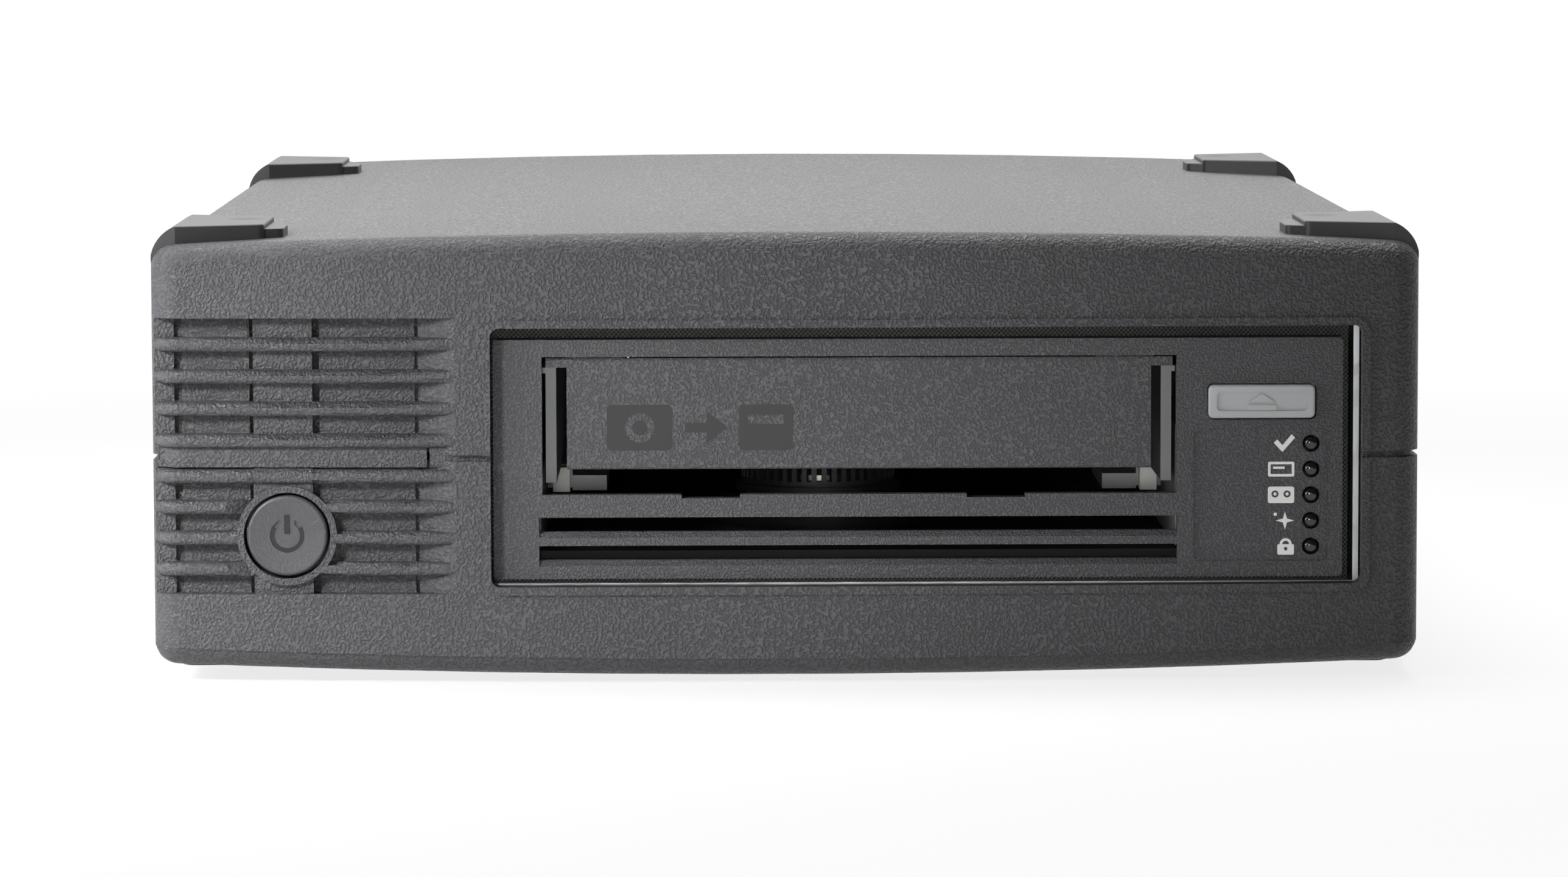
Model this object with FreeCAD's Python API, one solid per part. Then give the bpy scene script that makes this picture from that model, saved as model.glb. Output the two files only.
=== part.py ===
"""Desktop data tape drive: a half-height cartridge drive in a two-shell plastic case.

The case also holds the power supply and the fan.

Units are millimetres. X runs to the right of the front, Y to the back and Z up. The origin lies under the
middle of the case, on the plane that the feet stand on. Each sub-part is written to parts/NAME.step.
"""
import FreeCAD
import Part
import math
import os

V = FreeCAD.Vector

# ---------------------------------------------------------------- driving dimensions
# case, and the half-height bay in its front that the drive lines up with
case_depth = 300.0
supply_side = 59.5          # from the left side to the drive front
bezel_width = 148.0
right_margin = 13.5         # from the drive front to the right side
under_bezel = 17.0          # from the lowest point of the case to the drive front
bezel_height = 41.8
above_bezel = 18.65         # from the drive front to the highest point of the case
shell_lift = 1.1            # lowest point of the case above the standing plane
crown = 2.15                # rise of the top, and fall of the bottom, at the middle
front_bow = 2.7             # how far the front stands forward at the middle
wall = 2.5
corner_radius = 5.0
top_side_radius = 4.0
bottom_side_radius = 4.0
front_edge_radius = 4.5
top_crease = 2.86           # height of the soft band between the top and the front
bottom_crease = 3.2
band_inset = 0.02           # the soft bands start this far inside the upright faces
part_height = 39.5          # middle of the gap between the two shells
part_gap = 1.1
tongue_set_back = 1.0
tongue_thick = 1.3
tongue_rise = 2.4
fit = 0.15                  # easy fit between parts that slide together by hand

case_width = supply_side + bezel_width + right_margin
half_w = case_width / 2
front = -case_depth / 2
back = case_depth / 2
shell_low = shell_lift
bezel_bottom = shell_low + under_bezel
bezel_top = bezel_bottom + bezel_height
shell_high = bezel_top + above_bezel
cavity_low = shell_low + crown + wall
cavity_high = shell_high - crown - wall
bezel_left = supply_side - half_w
bezel_right = bezel_left + bezel_width
bow_half_span = half_w - corner_radius - 0.5

# drive front
bezel_set_back = 3.0
bezel_plate = 2.5
bezel_depth = 6.0
bezel_wall = 1.8
aperture_left = 0.4         # aperture past the bezel on each side
aperture_right = 3.3
aperture_below = 1.1
aperture_above = 2.2
aperture_radius = 1.6
rim_width = 1.4
rim_proud = 0.5
bezel_front = front + bezel_set_back
plate_back = bezel_front + bezel_plate
drive_front = bezel_front + bezel_depth

# grille in the left front corner, its columns told from the left side
grille_end = bezel_left - 6.5
grille_low = 15.8
grille_high = 63.9
grille_corner = 9.0         # how far its ribs and backing run back inside the left side
rib_height = 2.4
upper_rib_top = 59.3        # centre of the highest rib
upper_rib_pitch = 5.6
lower_rib_top = 36.3
lower_rib_pitch = 5.4
rib_count = 4
rib_edge = 1.0
grille_backing = 5.6
column_depth = 2.7
middle_column_depth = 1.9
groove_depth = 4.0
corner_groove_depth = 3.4
pillar_depth = 2.4
column_edges = [edge - half_w for edge in (5.3, 17.1, 17.8, 28.1, 29.3, 45.9, 46.5)]
pillar_edge = 4.0 - half_w
grille_part_drop = 1.75     # the parting line is lower inside the grille

# power button
power_x = 23.6 - half_w
power_z = 26.0
power_radius = 7.1
power_gap = 0.45
power_ring = 1.15
power_travel = 2.0
power_cap = 5.0
stem_side = 3.0

# feet
foot_over_case = 1.05
foot_skirt = 6.2            # how far a foot's outer side hangs down
foot_round = 4.2            # width of its rounded shoulder
foot_reach = 19.3           # from the side of the case to the inner end of the pad
foot_taper = 6.0            # the pad is this much shorter at each end of its inner side
foot_side_proud = 0.05
foot_tab = 3.2
foot_tab_drop = 0.85
foot_length = 37.2
foot_front = 7.4
foot_back = 29.9
dish_inset = 15.1
base_pad_inner = 48.5       # from the side of the case to the inner end of a bottom foot
base_pad_length = 30.0
base_pad_front = 28.0
base_flange_rise = 12.8
base_flange_proud = 0.5
base_corner_radius = 5.17

# drive body
drive_depth = 207.0
drive_wall = 2.5
drive_floor = bezel_bottom + 4.3
cover_sheet = 0.8
cover_flange = 8.0
board_thick = 1.6
cage_sheet = 1.0
cage_side_gap = 2.2
cage_floor = bezel_bottom - 2.2
cage_top = bezel_top + 3.3
cage_back = 10.0            # cage runs this far past the drive
cage_screw_inset = 12.0
drive_back = drive_front + drive_depth
drive_left = bezel_left + 1.0
drive_right = bezel_right - 1.0
cage_left = bezel_left - cage_side_gap
cage_right = bezel_right + cage_side_gap
cage_screw_y = (drive_front + 21.0, drive_front + 191.0)
cover_under = bezel_top - 0.2 - cover_sheet
board_chips = ((30.0, 81.0, 20.0), (70.0, 91.0, 14.0), (110.0, 61.0, 12.0),     # place and side of each
               (20.0, 151.0, 16.0), (80.0, 161.0, 24.0), (120.0, 171.0, 10.0))
plug_x = drive_left + 70.0
plug_low = bezel_bottom + 5.9

# cartridge door and slot
door_opening_width = 110.5
door_opening_centre = bezel_left + 63.75
door_opening_low = bezel_bottom + 14.7
door_opening_high = bezel_top - 3.0
door_clear = 0.65
door_thick = 1.8
door_set_back = 1.0
door_main_width = 101.8
door_bottom = door_opening_low + 4.35
ear_bottom = door_opening_high - 1.9
hinge_height = door_opening_high + 0.65
hinge_set_back = 5.6
hinge_pin_radius = 0.75
hinge_knuckle_radius = 1.2
running = 0.05
notch_width = 10.2
notch_depth = 0.65
notch_offset = 25.9
door_left = door_opening_centre - door_opening_width / 2
door_right = door_opening_centre + door_opening_width / 2
hinge_y = front + hinge_set_back

# bezel details
vent_low = (bezel_bottom + 3.2, bezel_bottom + 8.15)    # lower edges of the two vent slots
vent_slot = 2.6
vent_slope = 0.95
eject_width = 18.6
eject_height = 5.83
eject_x = bezel_right - 14.2
eject_z = bezel_bottom + 30.7
eject_proud = 0.9
eject_gap = 0.3
eject_travel = 1.0
eject_recess = 0.45
lamp_x = bezel_right - 5.5
lamp_top = bezel_bottom + 23.25
lamp_pitch = 4.5
lamp_count = 5
lamp_radius = 1.2
lamp_hole = 1.5
panel_left = bezel_right - 26.0
panel_right = bezel_right - 2.5
panel_low = bezel_bottom + 2.7
panel_high = bezel_bottom + 26.0
panel_depth = 0.35

# transport, placed from the middle of the door, the drive's front and its floor
hub_x = door_opening_centre - 6.35
hub_y = drive_front + 49.0
hub_low = drive_floor + 6.0
hub_outer = 14.0
hub_inner = 11.4
hub_top = drive_floor + 11.3
hub_tooth = 2.9
hub_teeth = 48
reel_x = door_opening_centre - 0.75
reel_y = drive_front + 161.0
reel_radius = 40.0
reel_low = drive_floor + 6.6
tape_width = 12.65
flange_thick = 1.2
roller_radius = 5.0
roller_flange = 6.0
roller_low = drive_floor + 6.6
roller_spots = [(door_opening_centre + x, drive_front + y) for x, y in (
    (54.25, 110.0), (50.25, 126.0), (50.25, 156.0), (47.25, 174.0))]
head_x = door_opening_centre + 60.25
head_y = drive_front + 141.0
head_low = drive_floor + 7.6
arm_x = door_opening_centre + 62.25
arm_y = drive_front + 181.0
arm_low = drive_floor + 27.0
arm_pin_low = drive_floor + 17.6
arm_tip_x = door_opening_centre + 51.25
arm_tip_y = drive_front + 108.0
sled_front = drive_front + 4.0
sled_back = drive_front + 73.0
carrier_half = 55.35
gear_module = 0.8
gear_teeth = 20
pinion_teeth = 12
gear_low = drive_floor + 17.1
gear_face = 4.0
gear_y = drive_front + 41.0
axle_low = drive_floor + 7.6
rack_pitch_x = door_opening_centre + 60.45

# supply, fan and back
tray_left = 5.5 - half_w
tray_right = cage_left - cage_sheet - 3.0
tray_front = front + 55.0
tray_back = back - 65.0
tray_screw_spots = [(x, y) for x in (tray_left + 5.0, tray_right - 3.8)
                    for y in (tray_front + 15.0, tray_back - 15.0)]
rear_open_x = half_w - 12.5
rear_open_low = shell_low + 9.9
rear_open_high = shell_high - 9.05
panel_sheet = 1.2
panel_front = back - wall - panel_sheet
fan_size = 60.0
fan_depth = 15.0
fan_x = -20.0
fan_z = shell_low + 39.1
fan_bore = 28.6
fan_hub = 14.0
fan_blades = 7
inlet_x = 31.5 - half_w
inlet_z = shell_low + 26.9
socket_spots = (half_w - 70.5, half_w - 36.5)
socket_z = shell_low + 24.9
socket_width = 24.0
socket_height = 10.0
column_x = half_w - 6.5
column_y = case_depth / 2 - 20.0
column_radius = 3.6
screw_radius = 1.5
screw_head = 2.8
screw_counterbore = 3.1
counterbore_depth = 26.0
pilot_top = 55.0

parts = {}


# ---------------------------------------------------------------- shape helpers
def box(x0, x1, y0, y1, z0, z1):
    return Part.makeBox(x1 - x0, y1 - y0, z1 - z0, V(x0, y0, z0))


def rod(x, y, z, radius, length, axis=(0, 0, 1)):
    return Part.makeCylinder(radius, length, V(x, y, z), V(*axis))


def tube(x, y, z, outer, inner, length, axis=(0, 0, 1)):
    return rod(x, y, z, outer, length, axis).cut(rod(x, y, z, inner, length, axis))


def prism(points, z0, z1):
    """Upright prism over a closed outline of (x, y) points."""
    wire = Part.makePolygon([V(x, y, z0) for x, y in points] + [V(*points[0], z0)])
    return Part.Face(wire).extrude(V(0, 0, z1 - z0))


def side_prism(points, x0, x1):
    """Prism along X over a closed outline of (y, z) points."""
    wire = Part.makePolygon([V(x0, y, z) for y, z in points] + [V(x0, *points[0])])
    return Part.Face(wire).extrude(V(x1 - x0, 0, 0))


def front_prism(points, y0, y1):
    """Prism along Y over a closed outline of (x, z) points."""
    wire = Part.makePolygon([V(x, y0, z) for x, z in points] + [V(points[0][0], y0, points[0][1])])
    return Part.Face(wire).extrude(V(0, y1 - y0, 0))


def join(shapes):
    whole = shapes[0].multiFuse(shapes[1:]) if len(shapes) > 1 else shapes[0]
    return whole.removeSplitter()


def rounded_plate(x0, x1, z0, z1, y0, y1, radius):
    """Plate standing in the XZ plane, with its four corners rounded."""
    plate = box(x0, x1, y0, y1, z0, z1)
    return plate.makeFillet(radius, edges_along(plate, V(0, 1, 0)))


def edges_along(shape, direction):
    found = []
    for edge in shape.Edges:
        if edge.Curve.TypeId == "Part::GeomLine":
            if abs(abs(edge.tangentAt(edge.FirstParameter).dot(direction)) - 1) < 1e-6:
                found.append(edge)
    return found


def edges_where(shape, test):
    return [edge for edge in shape.Edges if test(edge.CenterOfMass, edge.BoundBox)]


def write(name, shapes):
    """Keep one sub-part: a solid, or several separate solids that are alike."""
    if not isinstance(shapes, (list, tuple)):
        shapes = [shapes]
    solids = [solid for shape in shapes for solid in shape.Solids]
    parts[name] = solids[0] if len(solids) == 1 else Part.makeCompound(solids)


# ---------------------------------------------------------------- case
def sharp_plan(inset, z0, z1):
    """The case seen from above, moved inward by inset, with a bowed front and sharp corners."""
    edge_y = front + front_bow + inset
    left, right, rear = -half_w + inset, half_w - inset, back - inset
    nose = Part.Arc(V(left, edge_y, z0), V(0, front + inset, z0), V(right, edge_y, z0)).toShape()
    sides = Part.makePolygon([V(right, edge_y, z0), V(right, rear, z0), V(left, rear, z0),
                              V(left, edge_y, z0)])
    return Part.Face(Part.Wire([nose] + sides.Edges)).extrude(V(0, 0, z1 - z0))


def plan_outline(inset, z0, z1):
    """The same outline with rounded corners."""
    solid = sharp_plan(inset, z0, z1)
    return solid.makeFillet(max(corner_radius - inset, 0.6), edges_along(solid, V(0, 0, 1)))


def front_y(x):
    """Y of the bowed front at x."""
    return front + front_bow * (x / bow_half_span) ** 2


def crowned_bar(bottom_inset, top_inset):
    """Long bar whose top and bottom follow the crown, each moved inward, with flat sides."""
    radius = (half_w ** 2 + crown ** 2) / (2 * crown)
    wide, past = half_w + 4, front - 9
    drop = radius - math.sqrt(radius ** 2 - wide ** 2)
    low_mid, high_mid = shell_low + bottom_inset, shell_high - top_inset
    top = Part.Arc(V(-wide, past, high_mid - drop), V(0, past, high_mid), V(wide, past, high_mid - drop))
    bottom = Part.Arc(V(wide, past, low_mid + drop), V(0, past, low_mid), V(-wide, past, low_mid + drop))
    right = Part.makeLine(V(wide, past, high_mid - drop), V(wide, past, low_mid + drop))
    left = Part.makeLine(V(-wide, past, low_mid + drop), V(-wide, past, high_mid - drop))
    section = Part.Face(Part.Wire([top.toShape(), right, bottom.toShape(), left]))
    return section.extrude(V(0, case_depth + 18, 0))


def case_form():
    """Outside of the closed case: crowned top and bottom, bowed front, soft bands along the edges.

    A fine ledge runs all round where each band meets the upright front and sides.
    """
    form = crowned_bar(0, 0).common(sharp_plan(band_inset, shell_low - 1, shell_high + 1)).removeSplitter()
    soft = fillet_each(form, [case_edge_radius(edge) for edge in form.Edges])
    upright = crowned_bar(bottom_crease, top_crease).common(plan_outline(0, shell_low, shell_high))
    return soft.fuse(upright).removeSplitter()


def case_edge_radius(edge):
    middle, reach = edge.CenterOfMass, edge.BoundBox
    high = middle.z > part_height
    if reach.ZLength > (shell_high - shell_low) / 2:
        return corner_radius
    if reach.YLength > case_depth / 2:
        return top_side_radius if high else bottom_side_radius
    return front_edge_radius


def fillet_each(shape, radii):
    """Round every edge of a shape at once, each with its own radius."""
    document = FreeCAD.newDocument()
    base = document.addObject("Part::Feature", "base")
    base.Shape = shape
    rounded = document.addObject("Part::Fillet", "rounded")
    rounded.Base = base
    rounded.Edges = [(i + 1, radius, radius) for i, radius in enumerate(radii)]
    document.recompute()
    return rounded.Shape.Solids[0]


def grille_cut(z0, z1, middle_depth):
    """Sunken part of the grille, seen from above, run up from z0 to z1. It leaves the left side whole."""
    c = column_edges
    side = -half_w - 4
    out = front - 4
    pillar_y = front_y(pillar_edge) + pillar_depth

    def at(x, depth):
        return (x, front_y(x) + depth)

    points = [(grille_end, out), at(grille_end, 0), at(c[6], column_depth), at(c[6], groove_depth),
              at(c[5], groove_depth), at(c[5], column_depth), at(c[4], column_depth), at(c[4], groove_depth),
              at(c[3], groove_depth), at(c[3], middle_depth), at(c[2], middle_depth), at(c[2], groove_depth),
              at(c[1], groove_depth), at(c[1], column_depth), at(c[0], column_depth),
              at(c[0], corner_groove_depth), at(pillar_edge, corner_groove_depth), (pillar_edge, pillar_y),
              (side, pillar_y), (side, out)]
    return prism(points, z0, z1)


def grille_rib(height, outer, inner):
    """One rounded rib that follows the front and the left corner."""
    low, high = height - rib_height / 2, height + rib_height / 2
    reach = box(-half_w - 5, grille_end, front - 5, front + grille_corner, low, high)
    bar = outer.common(reach).cut(inner)
    face_edges = edges_where(bar, lambda c, b: b.ZLength < 1e-3 and (
        (abs(c.z - low) < 1e-3 or abs(c.z - high) < 1e-3) and on_outside(c)))
    return bar.makeFillet(rib_edge, face_edges)


def on_outside(point):
    """True for a point on the outside of the front or of the left side."""
    near_front = point.y < front_y(point.x) + 0.25 and point.x > -half_w + corner_radius - 0.5
    near_side = point.x < -half_w + 0.05
    near_corner = (point.x < -half_w + corner_radius and point.y < front + front_bow + corner_radius
                   and math.hypot(point.x + half_w - corner_radius,
                                  point.y - front - front_bow - corner_radius) > corner_radius - 0.6)
    return near_front or near_side or near_corner


def power_boss():
    """Ring round the power button, level with the front."""
    ring_out = power_radius + power_gap + power_ring
    y = front_y(power_x)
    return rod(power_x, y - 0.1, power_z, ring_out, grille_backing + 0.1, (0, 1, 0))


def scoop():
    """Cone that hollows the ends of the ribs next to the power button's ring."""
    ring_out = power_radius + power_gap + power_ring
    y = front_y(power_x)
    cone = Part.makeCone(ring_out + 4.2, ring_out - 1.0, 2.6, V(power_x, y - 0.3, power_z), V(0, 1, 0))
    keep = box(column_edges[2], column_edges[3], y - 5, y + 10, power_z - 20, power_z + 20)
    return cone.cut(keep)


def aperture_box(grow, y0, y1):
    return rounded_plate(bezel_left - aperture_left - grow, bezel_right + aperture_right + grow,
                         bezel_bottom - aperture_below - grow, bezel_top + aperture_above + grow,
                         y0, y1, aperture_radius + grow)


def shells():
    form = case_form()
    outside = plan_outline(0, shell_low, shell_high)
    cavity = plan_outline(wall, cavity_low, cavity_high)
    body = form.cut(cavity)
    backing_end, backing_y = grille_end + 2.5, front_y(column_edges[4]) + grille_backing
    backing_plan = [(-half_w - 1, front - 1), (backing_end, front - 1), (backing_end, backing_y),
                    (-half_w + grille_backing, backing_y),
                    (-half_w + grille_backing, front + grille_corner + 2),
                    (-half_w - 1, front + grille_corner + 2)]
    backing = prism(backing_plan, grille_low - 2, grille_high + 2).common(form)
    body = body.fuse(backing)
    split = part_height - grille_part_drop
    body = body.cut(grille_cut(split - 0.1, grille_high, middle_column_depth))
    body = body.cut(grille_cut(grille_low, split - 0.1, middle_column_depth / 2))
    # filler row: shallower recess just above the parting line, made by a second skin
    inner = plan_outline(groove_depth, shell_low, shell_high)
    filler_low, filler_high = split + 0.1, upper_rib_top - 3 * upper_rib_pitch
    filler = grille_band(filler_low, filler_high, 1.3)
    upper_ribs = [grille_rib(upper_rib_top - i * upper_rib_pitch, outside, inner) for i in range(rib_count)]
    lower_ribs = [grille_rib(lower_rib_top - i * lower_rib_pitch, outside, inner) for i in range(rib_count)]
    hollow = scoop()
    lower_ribs = [rib.cut(hollow) for rib in lower_ribs]
    rim = aperture_box(rim_width, front - 4, front + 4).common(plan_outline(-rim_proud, shell_low,
                                                                            shell_high))
    rim = rim.cut(plan_outline(1.5, shell_low, shell_high))
    body = body.multiFuse([filler, power_boss(), rim] + upper_ribs + lower_ribs)
    body = body.cut(aperture_box(0, front - 6, front + 8))
    button_hole = rod(power_x, front - 5, power_z, power_radius + power_gap, 20, (0, 1, 0))
    body = body.cut(button_hole)
    rear_hole = box(-rear_open_x, rear_open_x, back - wall - 1, back + 1, rear_open_low, rear_open_high)
    body = body.cut(rear_hole)
    return split_shells(body, split)


def grille_band(z0, z1, depth):
    """Flat-faced band set back by depth from the outside, running round the grille's corner."""
    reach = box(-half_w + depth, grille_end - 5.0, front - 1, front_y(pillar_edge) + pillar_depth + 0.1, z0,
                z1)
    return plan_outline(depth, z0, z1).common(reach).cut(plan_outline(grille_backing - 0.5, z0, z1))


def split_shells(body, split):
    """Part the body at its gap, with a tongue on the lower shell that closes the gap from inside."""
    big = case_width
    gap_low, gap_high = part_height - part_gap / 2, part_height + part_gap / 2
    strip, corner_end = 0.9 - half_w, front + grille_corner + 1
    corner = box(strip, grille_end - 5.0, front - 9, corner_end, 0, 200)
    corner_low = box(strip, grille_end - 5.0, front - 9, corner_end, split - 0.1, 200)
    lower = body.cut(box(-big, big, -big, big, gap_low, 200).cut(corner)).cut(corner_low)
    above = box(-big, big, -big, big, gap_high, 200).cut(corner).fuse(
        box(strip, grille_end - 5.0, front - 9, corner_end, split + 0.1, 200))
    upper = body.common(above)
    ring = plan_outline(tongue_set_back, gap_low - 1, gap_low + tongue_rise)
    ring = ring.cut(plan_outline(tongue_set_back + tongue_thick, gap_low - 1, gap_low + tongue_rise))
    ring = ring.cut(box(-big, grille_end - 4.5, front - 9, corner_end + 1, 0, 200))
    ring = ring.cut(aperture_box(0, front - 6, front + 8))
    ring = ring.cut(box(-rear_open_x, rear_open_x, back - wall - 1, back + 1, rear_open_low, rear_open_high))
    pocket = plan_outline(tongue_set_back - fit, gap_low, gap_low + tongue_rise + fit)
    pocket = pocket.cut(plan_outline(wall + 3, gap_low, gap_low + tongue_rise + fit))
    pocket = pocket.cut(box(-big, grille_end - 5.0, front - 9, corner_end + 0.5, 0, 200))
    upper = upper.cut(pocket)
    lower = lower.fuse(ring)
    for x in (-column_x, column_x):
        for y in (-column_y, column_y):
            lower = lower.fuse(rod(x, y, cavity_low - 1, column_radius, part_height - 0.1 - cavity_low + 1))
            lower = lower.cut(rod(x, y, shell_low - 1, screw_counterbore, counterbore_depth))
            lower = lower.cut(rod(x, y, shell_low, screw_radius + fit, part_height))
            boss = rod(x, y, part_height + 0.1, column_radius, cavity_high - part_height + 1)
            upper = upper.fuse(boss).cut(rod(x, y, part_height - 1, screw_radius,
                                             pilot_top - part_height + 1))
    for x, y in cage_screw_spots():
        lower = lower.fuse(tube(x, y, cavity_low, 4.0, screw_radius, cage_floor - cavity_low))
    for x, y in tray_screw_spots:
        lower = lower.fuse(tube(x, y, cavity_low, 3.2, 1.2, 2.0))
    return upper.removeSplitter(), lower.removeSplitter()


def case_screws():
    screws = []
    for x in (-column_x, column_x):
        for y in (-column_y, column_y):
            head_z = shell_low - 1 + counterbore_depth - 2.2
            shank = rod(x, y, head_z + 2.2, screw_radius, pilot_top - 1.0 - head_z - 2.2)
            head = rod(x, y, head_z, screw_head, 2.2).cut(cross_slot(x, y, head_z, (0, 0, 1)))
            screws.append(shank.fuse(head))
    return screws


def cross_slot(x, y, z, axis):
    """Cross recess for a screw head whose face lies at the point, cut along axis."""
    if axis[2]:
        depth = 1.1 * axis[2]
        low, high = min(z, z + depth), max(z, z + depth)
        return box(x - 1.5, x + 1.5, y - 0.3, y + 0.3, low, high).fuse(
            box(x - 0.3, x + 0.3, y - 1.5, y + 1.5, low, high))
    depth = 1.1 * (axis[0] or axis[1])
    if axis[1]:
        low, high = min(y, y + depth), max(y, y + depth)
        return box(x - 1.5, x + 1.5, low, high, z - 0.3, z + 0.3).fuse(
            box(x - 0.3, x + 0.3, low, high, z - 1.5, z + 1.5))
    low, high = min(x, x + depth), max(x, x + depth)
    return box(low, high, y - 1.5, y + 1.5, z - 0.3, z + 0.3).fuse(
        box(low, high, y - 0.3, y + 0.3, z - 1.5, z + 1.5))


def foot_plan(side, inset, z0, z1):
    """Upright block over a top foot seen from above: a pad that narrows inward, then a lower rounded tab."""
    outer, inner = half_w + foot_side_proud, half_w - foot_reach
    points = [(outer, 0), (half_w - foot_round, 0), (inner, foot_taper + inset),
              (inner, foot_length - foot_taper - inset), (half_w - foot_round, foot_length),
              (outer, foot_length)]
    if inset:
        tip = inner - foot_tab
        points[2:4] = [(inner, foot_taper + inset), (tip, foot_taper + inset + 1.5),
                       (tip, foot_length / 2 + 1.0), (inner, foot_length - foot_taper - inset)]
    block = prism([(side * x, front + y) for x, y in points], z0, z1)
    inward = edges_where(block, lambda c, b: b.ZLength > 1 and b.XLength < 1e-3 and abs(c.x) < inner + 0.01)
    return block.makeFillet(1.6, inward)


def top_feet(form):
    feet = []
    outer = half_w + foot_side_proud
    flat = half_w - foot_round
    past = half_w - foot_reach - foot_tab - 1
    top = shell_high + foot_over_case
    low = top - foot_skirt
    tip_low = low + 1.2
    for side in (-1, 1):
        arc = Part.Arc(V(side * flat, 0, top), V(side * (outer - 1.35), 0, top - 2.1),
                       V(side * outer, 0, tip_low))
        rest = Part.makePolygon([V(side * outer, 0, tip_low), V(side * outer, 0, low), V(side * past, 0, low),
                                 V(side * past, 0, top), V(side * flat, 0, top)])
        section = Part.Face(Part.Wire([arc.toShape()] + rest.Edges)).extrude(V(0, case_depth, 0))
        section.translate(V(0, front, 0))
        pad = section.common(foot_plan(side, 0, low, top))
        tab = foot_plan(side, 0.8, low, top - foot_tab_drop)
        keep = box(-half_w, half_w, front - 1, back, low, top).common(section)
        rim = edges_where(pad, lambda c, b: abs(c.z - top) < 0.01 and abs(c.x) < flat - 0.01)
        pad = pad.makeFillet(0.35, rim)
        edge = edges_where(tab, lambda c, b: abs(c.z - top + foot_tab_drop) < 0.01 and abs(c.x) < flat - 1)
        tab = tab.makeFillet(0.25, edge).common(keep)
        dish = Part.makeSphere(20.0, V(side * (half_w - dish_inset), front + foot_length / 2 + 4,
                                       top + 19.66))
        shape = pad.fuse(tab).cut(dish)
        for start in (foot_front, case_depth - foot_back - foot_length):
            foot = shape.copy()
            foot.translate(V(0, start, 0))
            foot = foot.cut(form)
            feet.append(max(foot.Solids, key=lambda solid: solid.Volume))
    return feet


def bottom_feet(form):
    feet = []
    outer = half_w + base_flange_proud
    for side in (-1, 1):
        for y in (front + base_pad_front, back - base_pad_front - base_pad_length):
            x0, x1 = sorted((side * (half_w - base_pad_inner), side * outer))
            block = box(x0, x1, y, y + base_pad_length, 0, shell_low + base_flange_rise)
            corner = edges_where(block, lambda c, b: (
                b.YLength > 1 and abs(c.z) < 0.01 and abs(c.x - side * outer) < 0.01))
            block = block.makeFillet(base_corner_radius, corner)
            foot = block.cut(form)
            foot = foot.cut(case_keep_out(side, y))
            feet.append(max(foot.Solids, key=lambda solid: solid.Volume))
    return feet


def case_keep_out(side, y):
    """Nothing of a bottom foot may lie inside the case."""
    x0, x1 = sorted((side * (half_w - base_pad_inner - 1), side * (half_w - 0.01)))
    return box(x0, x1, y - 1, y + base_pad_length + 1, shell_low + crown + bottom_side_radius, 40)


def power_parts():
    y = front_y(power_x)
    cap_front = y + 0.15
    cap = rod(power_x, cap_front, power_z, power_radius, power_cap, (0, 1, 0))
    cap = cap.makeFillet(0.6, edges_where(cap, lambda c, b: abs(c.y - cap_front) < 0.01))
    dish = Part.makeSphere(60.0, V(power_x, cap_front - 60.0 + 0.35, power_z))
    cap = cap.cut(dish)
    flange_y = y + grille_backing + 0.2
    flange = rod(power_x, flange_y, power_z, power_radius + 1.4, 1.0, (0, 1, 0))
    neck = rod(power_x, cap_front + power_cap, power_z, power_radius - 1, flange_y - cap_front - power_cap,
               (0, 1, 0))
    switch_front = flange_y + 1.0 + power_travel + 1.6
    half = stem_side / 2
    stem = box(power_x - half, power_x + half, flange_y + 1.0, switch_front + 3.0, power_z - half,
               power_z + half)
    button = join([cap, neck, flange, stem])
    symbol = box(power_x - 0.5, power_x + 0.5, cap_front + 0.1, cap_front + 0.6, power_z + 0.3, power_z + 3.6)
    arc = tube(power_x, cap_front + 0.1, power_z, 3.0, 2.2, 0.5, (0, 1, 0))
    arc = arc.cut(box(power_x - 1.3, power_x + 1.3, cap_front - 1, cap_front + 2, power_z, power_z + 5))
    button = button.cut(symbol).cut(arc)
    body = box(power_x - 5.5, power_x + 5.5, switch_front, switch_front + 9.0, power_z - 5.5, power_z + 5.5)
    bore_half = half + 0.2
    body = body.cut(box(power_x - bore_half, power_x + bore_half, switch_front - 1, switch_front + 6.0,
                        power_z - bore_half, power_z + bore_half))
    plate_y = switch_front + 9.0
    bracket = box(power_x - 8, power_x + 8, plate_y, plate_y + 1.2, cavity_low, power_z + 6)
    bracket = bracket.fuse(box(power_x - 8, power_x + 8, plate_y, plate_y + 11, cavity_low, cavity_low + 1.2))
    return button, body, bracket


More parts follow.
